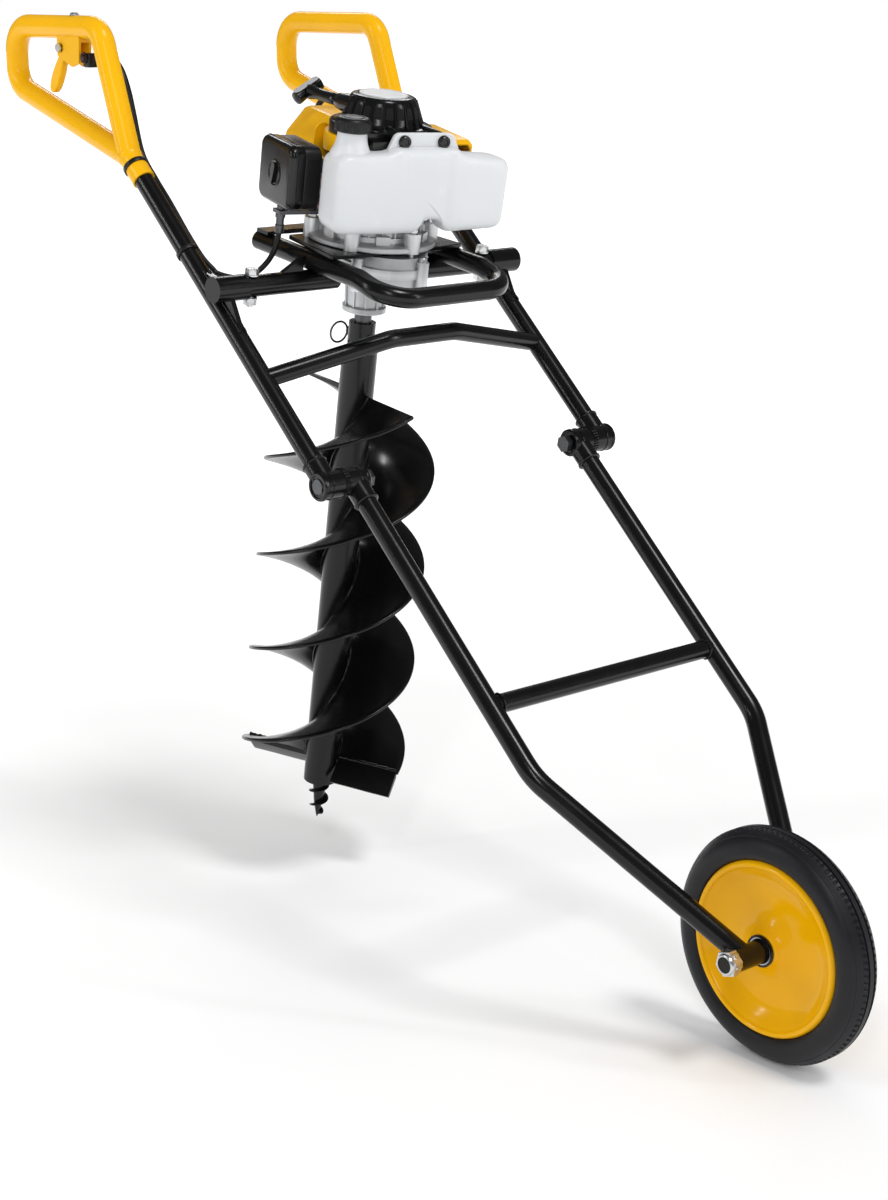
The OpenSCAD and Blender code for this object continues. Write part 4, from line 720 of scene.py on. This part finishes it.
def hinge_details():
    teeth = 30
    # Each body's knuckle: its toothed crown, its free end and which way that faces, and its tube
    knuckles = (("frame", (181.0, 184.0), 210.5, 1, UPPER_Y),
                ("lower_frame", (177.6, 180.6), 151.1, -1, LOWER_Y))

    def tooth(a, r, h):
        high = r > 14 and (a * teeth / math.tau) % 1.0 < 0.5
        return (r + 0.8 if high else r), h

    for body, (inner, outer), free, way, _ in knuckles:
        crown = [(13.0, inner), (15.3, inner), (15.3, outer), (13.0, outer)]
        edge = [(11.6, 0), (11.6, 1.0), (12.6, 1.4), (14.4, 1.0), (15.6, -0.4), (15.8, -3.0), (15.2, -3.8),
                (14.0, -3.8)]
        band = [(14.0, -1.8), (15.5, -1.4), (15.8, 0), (15.5, 1.4), (14.0, 1.8)]
        knuckle = join(two_sided(crown, teeth * 4, tooth), two_sided(raised(flipped(edge, way), free), 64),
                       two_sided(raised(band, free - 11.0 * way), 64))
        piece("knuckle_" + body, knuckle, AT_FRAME @ ALONG_Y, BLACK_COAT, body, (), 35)
    lip = lathe([(11.15, 27.0), (13.2, 27.0), (13.9, 27.8), (13.9, 29.2), (13.3, 30.0), (11.9, 30.6),
                 (11.15, 30.6)], 56)
    for body, _, _, way, y in knuckles:
        lips = [moved(lip, shift(0, sign * y, 0) @ turn(-90 * way, "Y")) for sign in SIDES]
        piece("collar_lip_" + body, join(*lips), AT_FRAME, BLACK_COAT, body, (), 35)
    bolts = [moved(hex_head(16, 3.2), turn(-90 * sign, "X") @ shift(0, 0, 208.4)) for sign in SIDES]
    piece("hinge_bolt_heads", join(*bolts), AT_FRAME, DARK_ZINC, "frame", (), 30)


# Welds on the tubes

def welds():
    bar_s = 292
    gusset_s = -290
    gusset_len = 88
    steps = 25
    beads = {"frame": [], "lower_frame": []}
    for sign in SIDES:
        y = sign * (LOWER_Y - TUBE_R - 0.4)
        path = circle_path(10.4, 40, AT_FRAME @ shift(bar_s, y, 0) @ ALONG_Y)
        beads["lower_frame"].append(weld_ring(path, 1.6))
        for gap in (-3.6, 3.6):
            line = [(gusset_s + gusset_len * k / steps, sign * (UPPER_Y + gap),
                     11.2) for k in range(steps + 1)]
            line = [AT_FRAME @ Vector(p) for p in line]
            beads["frame"].append(tube(line, 1.4, 8, lambda t, a: 1.0 + 0.15 * math.sin(t * 60)))
    for body, parts in beads.items():
        piece("weld_beads_" + body, join(*parts), WORLD, BLACK_COAT, body, (), 60)


# Trigger, switch and cable on the right grip

def trigger_side():
    place = AT_GRIP @ shift(0, -UPPER_Y, 0)
    half = [(0, 5.8), (8, 5.4), (18, 5.8), (28, 7.6), (40, 8.2), (50, 7.2), (56, 4.8), (59.6, 0)]
    paddle = prism(half + flipped(reversed(half[:-1]), -1), -4.9, 4.9)
    lay = place @ shift(-71, 0, -23) @ turn(90, "X") @ turn(-121, "Z")
    obj = piece("trigger_paddle", paddle, lay, YELLOW, "throttle_trigger", ("throttle_trigger",))
    soften(obj, 2.8, 4, 50)
    pivot = moved(hex_head(9, 4.2), shift(-71, -8.6, -23) @ turn(90, "X"))
    dome = moved(lathe([(0.2, 0), (5.4, 0), (5.2, 1.8), (3.6, 3.4), (0.2, 3.8)], 28), shift(-52, 0, 12.6))
    piece("trigger_screws", join(pivot, dome), place, ZINC, "frame", (), 30)
    boot = tube([(-20, 9.6, -31), (-17, 9.8, -30.6), (-14, 10, -30)], 5.0, 16, lambda t, a: 1.0 - 0.25 * t)
    piece("cable_boot", boot, place, CABLE, "frame")
    case = box((-31, -5, -44), (-18, 11, -28))
    soften(piece("switch_case", case, place, PLASTIC, "frame", ("switch_housing",)), 2.0, 3)
    at_button = place @ shift(-26, 0, -33) @ ALONG_Y
    button = lathe([(0.2, -1.5), (4.0, -1.5), (4.0, -8.0), (3.2, -8.9), (0.2, -9.1)], 32)
    piece("kill_button", button, at_button, STOP_RED, "stop_button", ("stop_button",), 30)
    collar = lathe([(4.5, -6.2), (6.4, -6.2), (6.0, -7.4), (4.9, -7.4)], 32)
    piece("button_collar", collar, at_button, PLASTIC, "frame", (), 30)


# Routes of the throttle cable and of its loop to the engine, from the hinge
CABLE_ROUTE = [(-416.6, -186, 424), (-406, -182, 424), (-391, -181, 414), (-378, -181.6, 396),
               (-363, -181.2, 358), (-349, -181.1, 320), (-322, -181.8, 293), (-295, -183, 270),
               (-262, -184, 239), (-236, -183, 215), (-222, -179, 203)]
LOOP_ROUTE = [(-221.5, -178.9, 202.6), (-217.6, -177.5, 199.2), (-214, -166.9, 195), (-211, -151.7, 192.5),
              (-206, -133.1, 197), (-204, -117.1, 209), (-203, -107.2, 224), (-202, -103.2, 238.5)]


def cables():
    def sleeve(t, a):
        """Thicker over the first stretch, beside the grip."""
        return 1.0 + 0.42 * min(1.0, max(0.0, (0.42 - t) / 0.08))

    parts = [tube(smooth_path(CABLE_ROUTE, 8), CABLE_R, 14, sleeve)]
    for s, r in ((459, GRIP_R), (330, TUBE_R)):
        tie = raised([(0.1, 0), (1.4, 0), (1.6, 0.4), (1.6, 4.6), (1.4, 5), (0.1, 5)], 0, r)
        parts.append(moved(lathe(tie, 64), turn(PITCH, "Y") @ shift(-s, -UPPER_Y, 0) @ ALONG_X))
    piece("throttle_sheath", join(*parts), AT_HINGE, CABLE, "frame", ("throttle_cable",))
    curl = tube(smooth_path(LOOP_ROUTE, 10), CABLE_R, 14)
    loop = piece("throttle_sheath_loop", curl, AT_HINGE, CABLE, None, ("cable_loop",))
    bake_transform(loop)
    barrel = lathe([(3.2, 45.4), (5.0, 45.4), (5.2, 47), (5.2, 54), (4.2, 55), (4.2, 62), (5.6, 62.4),
                    (5.6, 66),
                    (4.2, 66.4), (4.2, 72), (3.2, 72)], 40)
    on_engine("cable_adjuster", moved(barrel, shift(-12, -108, 0)), DARK_ZINC, (), 30)


# Tank

def tank():
    # Front view outline (across, height), then a loft from the front face to the back
    left, right = -94.0, 118.0
    corners = [(left, TANK_V), (9, TANK_V), (14, TANK_V + 15), (36, TANK_V + 15), (42, TANK_V + 1),
               (right - 3, TANK_V + 5), (right, TANK_TOP + 1), (62, TANK_TOP + 6), (50, TANK_TOP + 13),
               (-20, TANK_TOP + 13), (-34, TANK_TOP + 7), (left + 1, TANK_TOP + 5)]
    radius = [14, 10, 9, 9, 10, 14, 14, 14, 8, 8, 12, 15]
    outline = even_outline(rounded_outline(corners, radius, 6), 168)
    mid = Vector((12.0, 0.5 * (TANK_V + TANK_TOP)))
    # Each ring: its depth, how far it draws in, and its share of the way from the middle of the front
    depths = [(94.9, 13.0, (k + 1) / 20) for k in range(19)]
    for depth, shrink in ((94.8, 13.0), (94.5, 8.0), (93.2, 4.2), (90.6, 1.6), (86.0, 0.2), (80.0, 0.0),
                          (72.0, 0.2),
                          (66.4, 1.0), (64.4, 3.6), (64.1, 8.0)):
        depths.append((depth, shrink, 1.0))
    rings = []
    for depth, shrink, share in depths:
        ring = []
        for across, height in outline:
            y = mid.x + (across - mid.x) * (1.0 - shrink / 106.0) * share
            z = mid.y + (height - mid.y) * (1.0 - shrink / 41.0) * share
            # The wings reach back past the engine, the middle of the front is a shallow channel
            wing = min(1.0, max(0.0, (abs(y - 12) - 34) / 72))
            channel = min(1.0, max(0.0, (33 - abs(y - 15)) / 8))
            x = depth
            if depth < 80:
                x -= 21.5 * wing * (80 - depth) / 16
            if depth > 84:
                x -= 1.8 * channel * channel * (3 - 2 * channel) + 0.00009 * (y - 12) ** 2
            ring.append((x, y, z))
        rings.append(ring)
    obj = on_engine("tank_shell", loft(rings), TANK, ("fuel_tank",), 180)
    modifier = obj.modifiers.new("smooth", "SUBSURF")
    modifier.levels = 1
    modifier.render_levels = 1
    apply_modifiers(obj)
    # The upright flange with two bolt holes
    flange = rounded_outline([(-33, TANK_TOP + 3), (60, TANK_TOP + 3), (48, EAR_V + 9), (-22, EAR_V + 9)],
                             [3, 3, 9, 9], 6)
    soften(on_engine("tank_flange", moved(prism(flange, 73.2, 79.4), FACE_X), TANK), 1.6, 3)
    neck = raised([(13.0, -6), (23.5, -6), (23.0, 1.0), (21.6, 5.0), (19.4, 9.0), (17.6, 13.4), (16.5, 19.0),
                   (15.9, 26.0), (15.7, 37.6), (13.0, 38)], TANK_TOP)
    on_engine("filler_neck", moved(lathe(neck, 64), shift(*NECK_AT)), TANK, (), 40)
    head = lathe([(0.2, 0), (7.0, 0), (7.0, 1.4), (6.6, 2.0), (6.4, 4.6), (5.6, 5.4), (3.4, 5.4), (3.0, 4.4),
                  (0.2, 4.4)], 32)
    bolts = [moved(head, shift(79.0, y, EAR_V) @ ALONG_X) for y in EAR_YS]
    on_engine("tank_bolt_heads", join(*bolts), SHINY_PLASTIC, (), 30)


def fuel_cap():
    low = TANK_TOP + 26.4
    ribs = 36

    def grip(a, r, h):
        if 18.4 < r < 19.2 and 2 < h - low < 11:
            return r + (0.7 if (a * ribs / math.tau) % 1.0 < 0.5 else 0.0), h
        return r, h

    profile = raised([(15.4, 0), (19.0, 0), (19.7, 0.6), (19.7, 2.0), (19.0, 2.6), (19.0, 10.4),
                      (18.9, 11.6),
                      (17.8, 13.8), (15.6, 15.0), (12.5, 15.2), (11.8, 14.6), (10.8, 14.6), (10.0, 15.4),
                      (5.0, 15.8), (0.3, 15.9), (0.3, 12.4), (15.4, 12.4)], low)
    cap = moved(lathe(profile, ribs * 6, grip), shift(*NECK_AT))
    piece("fuel_cap_body", cap, AT_ENGINE, PLASTIC, "fuel_cap", ("fuel_cap",), 40)


# Recoil starter

def starter():
    v = STARTER_V
    shell = raised([(52.0, 0), (57.0, 0), (57.2, 10.6), (56.4, 12.4), (54.4, 13.4), (46.8, 14.0),
                    (45.6, 15.2),
                    (44.4, 18.0), (42.4, 25.0), (39.8, 33.0), (37.8, 38.0), (36.4, 40.6), (34.8, 42.4),
                    (32.6, 43.2), (28.6, 43.4), (27.2, 42.6), (0.4, 42.6), (0.4, 38.0), (31.0, 37.0),
                    (38.0, 16.0), (49.0, 8.0), (52.0, 7.0)], v)
    parts = [lathe(shell, 128)]
    # Uprights between the windows
    foot = [(45.0, -1.5), (45.0, 1.5), (47.6, 1.1), (47.6, -1.1)]
    head = [(34.6, -1.2), (34.6, 1.2), (37.6, 0.9), (37.6, -0.9)]
    rib = loft([[(x, y, v + 15) for x, y in foot], [(x, y, v + 41) for x, y in head]])
    parts += [moved(rib, turn(17.5 * k - 95, "Z")) for k in range(12)]
    lug = lathe([(0.3, 30), (9.0, 30), (9.0, 71.6), (8.2, 73.0), (0.3, 73.0)], 36)
    parts += [moved(lug, shift(0, y, EAR_V) @ ALONG_X) for y in EAR_YS]
    outlet = lathe([(3.0, 8), (11.0, 8), (10.4, 32), (9.0, 41.6), (7.4, 44.0), (3.0, 44.0)], 36)
    parts.append(moved(outlet, turn(ENGINE_YAW, "Z") @ shift(0, -PULLEY_R, ROPE_V) @ turn(-90, "Y")))
    on_engine("starter_shell", join(*parts), SHINY_PLASTIC, ("starter_housing",), 32)
    # Front skirt that hangs over the tank's back edge, with its stepped tab
    skirt = rounded_outline([(-52, 0), (50, 0), (50, 13), (-52, 13)], 3, 4)
    tab = rounded_outline([(-46, 6), (-24, 6), (-22, -2), (-29, -13), (-36, -13), (-38, -9), (-46, -8)],
                          1.6, 3)
    front = moved(join(prism(skirt, 52.0, 60.0), prism(tab, 58.0, 72.0)), FACE_X @ shift(0, v, 0))
    soften(on_engine("starter_skirt", front, SHINY_PLASTIC), 1.0, 3)
    # Dark sheets on the shell between the uprights: painted shade where the starter's windows open into it
    outline = rounded_outline([(-4.6, 0), (4.6, 0), (3.6, 13), (-3.6, 13)], 2.0, 4)
    window = moved(prism(outline, -0.4, 0.4), shift(43.1, 0, v + 23) @ turn(-18.0, "Y") @ FACE_X)
    windows = [moved(window, turn(17.5 * k - 86.25, "Z")) for k in range(11)]
    on_engine("starter_window_shade", join(*windows), VENT_SHADE, (), 30)
    disc = raised([(0.3, 42.6), (27.0, 42.6), (27.0, 44.0), (26.2, 44.9), (24.4, 45.0), (23.4, 44.4),
                   (0.3, 44.5)], v)
    on_engine("starter_disc_face", lathe(disc, 128), BRIGHT, ("starter_disc",), 30)


def starter_handle():
    place = AT_POD @ shift(0, -PULLEY_R, ROPE_V)
    lean = turn(-62, "X")
    stem = lathe([(0.3, 46.0), (5.2, 46.0), (6.6, 48.0), (6.9, 56.0), (6.2, 72.0), (6.6, 84.0), (8.2, 91.0),
                  (8.6, 96.0), (7.0, 99.5), (0.3, 99.8)], 36)

    def bar_end(t, a):
        return max(0.25, min(1.0, 4.2 * math.sqrt(max(t * (1 - t), 0.0)) + 0.2))

    def strands(t, a):
        return 1.0 + 0.06 * math.sin(6 * a + 40 * t)

    line = [(-99.0 - 2.6 * math.sin(math.pi * k / 16) ** 2, 0, -20 + 40 * k / 16) for k in range(17)]
    handle = join(moved(stem, turn(-90, "Y")), moved(tube(line, 7.6, 24, bar_end), lean))
    piece("pull_handle", handle, place, SHINY_PLASTIC, "starter_grip", ("starter_grip",),
          40)
    # Painted highlight: a smooth pale grey pad on the upper side of the bar, where the glossy bar reflects
    # the light
    highlight_pad = prism(rounded_rect(-104.0, -94.5, -17.5, 17.5, 4.5), 0.0, 1.2)
    highlight_pad = moved(highlight_pad, lean @ shift(0, -7.2, 0) @ turn(90, "X"))
    obj = piece("pull_handle_highlight", highlight_pad, place, HIGHLIGHT_GREY, "starter_grip", (), 40)
    soften(obj, 0.5, 2)
    rope = tube([(-6 - 4 * k, 0, 0) for k in range(11)], 2.0, 14, strands)
    cord = piece("pull_rope", rope, place, ROPE, None, ("starter_rope",))
    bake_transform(cord)


# Engine sides

def air_filter():
    x0, x1 = -61.0, 22.0
    z0, z1 = CRANK_V - 36.0, CRANK_V + 35.0
    lid = pillow((x0, -115.9, z0), (x1, -99.4, z1), 13.0, 6.0, 1.2)
    on_engine("filter_lid", lid, SHINY_PLASTIC, ("filter_cover",), 35)
    body = pillow((x0 + 0.6, -98.6, z0 + 0.6), (x1 - 0.6, -78.1, z1 - 0.6), 13.0, 1.2, 3.0)
    on_engine("filter_body", body, PLASTIC, ("filter_base",), 35)
    seam = pillow((x0 + 2.0, -99.8, z0 + 2.0), (x1 - 2.0, -98.2, z1 - 2.0), 11.0, 0.3, 0.3, 2)
    on_engine("filter_seam", seam, HEAT_BLACK_AND_SLOT_SHADE, (), 35)
    rail = pillow((x0 - 0.8, -110.2, z0 - 0.8), (x1 + 0.8, -107.6, z1 + 0.8), 13.6, 0.8, 0.8, 3)
    on_engine("filter_rail", rail, SHINY_PLASTIC, (), 35)
    dish = lathe([(0.3, -0.5), (15.0, -0.5), (15.0, 0.5), (14.2, 1.1), (13.2, 0.9), (12.4, 0.1),
                  (0.3, 0.1)], 56)
    bar = moved(prism(rounded_rect(-3.2, 3.2, -12.0, 12.0, 3.0), 0.0, 3.4), turn(-14, "Z"))
    knob = moved(join(dish, bar), shift(-19, -115.9, CRANK_V - 1) @ turn(90, "X"))
    soften(on_engine("filter_knob", knob, SHINY_PLASTIC, (), 30), 0.5, 2)


def cowl():
    half = 54.5
    top = CRANK_V + 52.5
    low = CRANK_V - 18
    back = -138.4
    outline = rounded_outline([(-half, low), (half, low), (half, top - 10), (half - 20, top),
                               (-half + 24, top),
                               (-half, top - 30)], [2, 2, 10, 8, 8, 12], 6)
    # Each ring: its place along the engine and how far it draws in
    rings = []
    for x, inset in ((back - 0.1, 15.0), (back, 10.0), (-136.6, 6.0), (-131.0, 3.0), (-122.0, 0.0),
                     (-90.0, 0.0),
                     (-60.0, 0.0), (-46.0, 0.0)):
        narrow = 1 - inset / half
        squat = 1 - inset / (top - low) * 0.9
        rings.append([(x, y * narrow, low + (z - low) * squat) for y, z in outline])
    points, faces = loft(rings)
    # Open towards the engine
    obj = on_engine("cowl_shell", (points, faces[:-1]), YELLOW, ("cylinder_shroud",), 60)
    thicken(obj, 2.2)
    ring = raised([(59.4, 3), (62.0, 3), (62.0, 20), (61.0, 21.8), (48.0, 21.8), (48.0, 19.6), (59.4, 19.6)],
                  FLYWHEEL_V)
    on_engine("fan_ring", lathe(ring, 120), YELLOW, (), 40)
    wing = raised([(-58, -16), (-40, -16), (-40, 46), (-50, 51), (-58, 44)], CRANK_V)
    front = prism(rounded_outline(wing, [3, 2, 4, 8, 8], 5), -46.5, -43.5)
    soften(on_engine("cowl_front", moved(front, FACE_X), YELLOW), 1.0, 3)
    # Dark marks on the back of the cowl: painted shade where its slots open
    mark = prism(rounded_outline([(-30, 0), (30, 0), (30, 3.6), (-30, 3.6)], 1.7, 4), 0, 0.5)
    slots = [moved(mark, shift(back, 0, CRANK_V - 8 + 8.5 * k) @ FACE_BACK) for k in range(6)]
    on_engine("cowl_slot_shade", join(*slots), HEAT_BLACK_AND_SLOT_SHADE, (), 30)


def muffler_guard():
    x0, x1 = -84.0, 12.0
    y0, y1 = 57.0, 116.0
    low, high = CRANK_V - 2, CRANK_V + 41.0
    outline = rounded_outline([(y0, high - 1.6), (y1 - 5, high), (y1, high - 5), (y1, low)], [1, 3, 5, 1], 6)
    n = len(outline)
    # Each row: its place along the engine and how far it draws in
    rows = ((x0, 4.0), (x0 + 3, 1.0), (x0 + 8, 0.0), (x1 - 10, 0.0), (x1 - 4, 1.2), (x1, 5.0))
    points = []
    for x, drop in rows:
        for y, z in outline:
            inward = drop if y > y0 + 20 else 0.0
            down = drop * 0.8 if z > low + 10 else 0.0
            points.append((x, y - inward, z - down))
    faces = []
    for i in range(len(rows) - 1):
        for k in range(n - 1):
            faces.append((i * n + k, i * n + k + 1, (i + 1) * n + k + 1, (i + 1) * n + k))
    obj = on_engine("muffler_guard", (points, faces), YELLOW, ("muffler_cover",), 60)
    thicken(obj, 2.0)
    # Dark marks on the guard's side and top: painted shade where its slots open
    mark = prism(rounded_outline([(-2.0, 0), (2.0, 0), (2.0, 17), (-2.0, 17)], 1.9, 4), 0, 0.5)
    slots = []
    for k in range(7):
        x = -74 + 11 * k
        slots.append(moved(mark, shift(x, y1 - 0.1, low + 5) @ FACE_Y))
        slots.append(moved(mark, shift(x, 72, high - 1.0) @ turn(1.6, "X")))
    on_engine("muffler_slot_shade", join(*slots), HEAT_BLACK_AND_SLOT_SHADE, (), 30)


def engine_details():
    # Ribs of the clutch housing and gearbox, and the collar on the output nose
    rib = box((50, -1.1, CLUTCH_V + 13), (57.6, 1.1, CLUTCH_V + 34))
    web = box((56, -8, CLUTCH_V + 0.4), (63.6, 8, CLUTCH_V + 17))
    ribs = [moved(rib, turn(15 * k, "Z")) for k in range(24)]
    ribs += [moved(web, turn(60 * k - 75, "Z")) for k in range(6)]
    soften(on_engine("clutch_ribs", join(*ribs), CAST, (), 30), 0.5, 2)
    points, faces = box((19.5, -1.4, -43.6), (25.4, 1.4, -6))
    fin = [(x - (2.6 if z < -20 else 0.0), y, z) for x, y, z in points], faces
    nose = [moved(fin, turn(36 * k, "Z")) for k in range(10)]
    nose.append(lathe([(19.0, -44), (24.4, -44), (25.0, -43.2), (25.0, -37.6), (24.2, -36.8),
                       (19.0, -36.8)], 64))
    soften(piece("nose_ribs", join(*nose), AT_POD, CAST, "power_head", (), 30), 0.6, 2)
    screw = lathe([(0.3, 0), (4.8, 0), (4.8, 4.6), (4.2, 5.2), (2.9, 5.2), (2.7, 2.8), (0.3, 2.8)], 30)
    spots = ((-32, 36), (-32, -36), (37, 46), (37, -46), (77, 14))
    screws = [moved(screw, shift(x, y, 30)) for x, y in spots]
    piece("gearbox_screws", join(*screws), AT_POD, ZINC, "power_head", (), 30)
    # Plug lead and cap at the back, fuel line to the carburettor
    v = CRANK_V
    cap = [(-146, 0, v), (-160, 0, v), (-168, 0, v + 4), (-170, 0, v + 14), (-169, 0, v + 24)]
    on_engine("plug_cap", tube(cap, 9.0, 20, lambda t, a: 1.0 - 0.35 * t), PLASTIC, (), 50)
    lead = [(-169, 0, v + 22), (-167, 4, v + 42), (-156, 10, v + 56), (-134, 16, v + 58.6),
            (-100, 20, v + 56.4),
            (-74, 22, v + 55.6), (-62, 22, v + 53.6)]
    on_engine("plug_lead", tube(smooth_path(lead, 8), 3.4, 14), CABLE)
    line = [(60, -60, TANK_V + 4), (48, -66, TANK_V + 2), (30, -70, TANK_V + 6), (10, -69, v - 36),
            (-6, -66, v - 31), (-10, -64, v - 21)]
    on_engine("fuel_line", tube(smooth_path(line, 8), 2.6, 14), BULB)
    plate = rounded_outline([(-11, -12), (11, -12), (11, 12), (-11, 12)], 3, 4)
    stud = lathe([(0.2, 3.2), (2.4, 3.2), (2.2, 4.8), (0.2, 5.0)], 20)
    body = [moved(prism(plate, 2.0, 3.4), FACE_X)]
    body += [moved(stud, shift(0, y, z) @ ALONG_X) for y, z in ((-8, -9), (8, 9))]
    on_engine("primer_plate", moved(join(*body), shift(-0.2, -67, v - 9)), ZINC, (), 30)


def engine_plate():
    # Square to the guard's rails, with a tongue at the back that meets the strap
    outline = rounded_outline([(-44, -82), (50, -94), (54, -60), (54, 60), (50, 94), (-44, 82), (-64, 40),
                               (-84.6, 14), (-84.6, -72), (-63.4, -72), (-63.4, -48), (-44, -42)], 3, 5)
    obj = piece("engine_plate", prism(outline, PLATE_V - 0.2, PLATE_V + 4.8), AT_POD, BLACK_COAT,
                "power_head",
                ("mounting_plate",))
    soften(obj, 0.8, 3)
    flange = raised([(50.0, 0.1), (72.0, 0.1), (73.4, 1.2), (73.4, 5.4), (72.2, 6.6), (58.0, 8.0),
                     (50.0, 8.0)],
                    CLUTCH_V)
    on_engine("clutch_flange", lathe(flange, 120), CAST, (), 30)


def pivot_bolts():
    washer = lathe([(4.2, 12.2), (7.8, 12.2), (7.8, 13.6), (4.2, 13.6)], 36)
    end = lathe([(0.2, -22), (3.9, -22), (3.9, -13), (0.2, -13)], 24)
    parts = []
    for sign in SIDES:
        base = shift(PIVOT_FWD, sign * 167, 0)
        for way in (base, base @ turn(180, "X")):
            parts += [moved(hex_head(13, 6.6), way @ shift(0, 0, 13.7)), moved(washer, way)]
        parts.append(moved(end, base))
    piece("pivot_bolt_heads", join(*parts), AT_POD, ZINC, "power_head", (), 30)


drill_flight()
drill_tip()
wheel()
hinge_details()
welds()
trigger_side()
cables()
tank()
fuel_cap()
starter()
starter_handle()
air_filter()
cowl()
muffler_guard()
engine_details()
engine_plate()
pivot_bolts()

# Finishes of the solids that show as they are
FINISH = {
    YELLOW: ("right_handle", "left_handle", "trigger_bracket"),
    BLACK_COAT: ("right_upper_tube", "left_upper_tube", "upper_crossbar", "pivot_sleeves", "upper_knuckles",
                 "right_lower_tube", "left_lower_tube", "lower_crossbar", "lower_knuckles", "fork_sleeves",
                 "pivot_stubs", "guard_loop"),
    DRILL: ("auger_core",),
    ZINC: ("axle_bolt", "power_head_bolts"),
    DARK_ZINC: ("frame_fasteners", "coupling_pin", "output_shaft", "carburettor"),
    PLASTIC: ("starter_pulley",),
    CAST: ("gearbox_case", "gearbox_cover", "clutch_housing", "crankcase"),
    ROUGH_CAST: ("engine_cylinder", "piston_and_rod"),
    STEEL: ("shaft_bearings", "clutch_shoes", "crankshaft", "clutch_drum", "idler_gear"),
    HEAT_BLACK_AND_SLOT_SHADE: ("muffler",),
    PORCELAIN: ("spark_plug",),
    PALE: ("choke_lever",),
    BRASS: ("throttle_cam",),
    BULB: ("primer_bulb",),
}
for material, nodes in FINISH.items():
    for name in nodes:
        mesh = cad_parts[name].data
        mesh.materials.clear()
        mesh.materials.append(material)


# Stage, light and camera

def stage():
    """A pale floor that brightens to plain white away from the object."""
    data = bpy.data.meshes.new("floor")
    far = 30.0
    z = -0.0005
    data.from_pydata([(-far, -far, z), (far, -far, z), (far, far, z), (-far, far, z)], [], [(0, 1, 2, 3)])
    floor = add_object("floor", data)
    s = Shader("floor_white", (0.90, 0.90, 0.90), 0.75).set(Specular_IOR_Level=0.1)
    s.tint(s.noise(1.5), (0.88, 0.88, 0.88), 0.5)
    s.set(Emission_Color=(1.0, 1.0, 1.0, 1.0))
    reach = s.add("ShaderNodeVectorMath", operation="LENGTH")
    s.link(s.where, reach.inputs[0])
    glow = s.add("ShaderNodeMapRange", {"From Min": 0.9, "From Max": 3.2, "To Max": 0.5})
    s.link(reach.outputs["Value"], glow.inputs["Value"])
    s.link(glow.outputs["Result"], s.bsdf.inputs["Emission Strength"])
    data.materials.append(s.mat)


def aim(obj, look):
    obj.rotation_euler = look.to_track_quat("-Z", "Y").to_euler()


def area_light(name, place, target, size, power):
    data = bpy.data.lights.new(name, "AREA")
    data.shape = "RECTANGLE"
    data.size, data.size_y = size
    data.energy = power
    lamp = add_object(name, data)
    lamp.location = place
    aim(lamp, Vector(target) - Vector(place))


def lighting():
    world = bpy.data.worlds.new("studio")
    bpy.context.scene.world = world
    world.use_nodes = True
    tree = world.node_tree
    background = tree.nodes["Background"]
    background.inputs["Color"].default_value = (1.0, 1.0, 1.0, 1.0)
    path = tree.nodes.new("ShaderNodeLightPath")
    # Strength 0.62 as plain light, 0.12 in mirror reflections, 1 straight to the camera
    dim = tree.nodes.new("ShaderNodeMapRange")
    dim.inputs["To Min"].default_value = 0.62
    dim.inputs["To Max"].default_value = 0.12
    tree.links.new(path.outputs["Is Glossy Ray"], dim.inputs["Value"])
    seen = tree.nodes.new("ShaderNodeMath")
    seen.operation = "MAXIMUM"
    tree.links.new(dim.outputs["Result"], seen.inputs[0])
    tree.links.new(path.outputs["Is Camera Ray"], seen.inputs[1])
    tree.links.new(seen.outputs["Value"], background.inputs["Strength"])
    middle = (0, 0, 0.5)
    area_light("key", (2.4, -2.6, 2.6), middle, (0.2, 1.6), 22.0)
    area_light("side", (-1.4, -2.8, 1.8), middle, (0.2, 1.8), 16.0)
    area_light("fill", (2.8, 1.4, 1.8), middle, (0.2, 1.8), 16.0)
    area_light("back", (-2.2, 1.6, 2.4), middle, (1.4, 0.4), 12.0)
    sun = bpy.data.lights.new("sun", "SUN")
    sun.energy = 1.15
    sun.angle = math.radians(14)
    aim(add_object("sun", sun), Vector((-0.55, -0.05, -1.0)))


def camera():
    data = bpy.data.cameras.new("camera")
    data.sensor_fit = "AUTO"
    data.sensor_width = 36.0
    data.lens = 69.6
    obj = add_object("camera", data)
    azimuth = math.radians(49.01)
    height = math.radians(14.96)
    level = math.cos(height)
    look = Vector((-math.sin(azimuth) * level, math.cos(azimuth) * level, -math.sin(height)))
    obj.location = (1.87006, -1.6582, 1.05204)
    aim(obj, look)
    bpy.context.scene.camera = obj


stage()
lighting()
camera()
bpy.context.scene.view_settings.view_transform = "Standard"
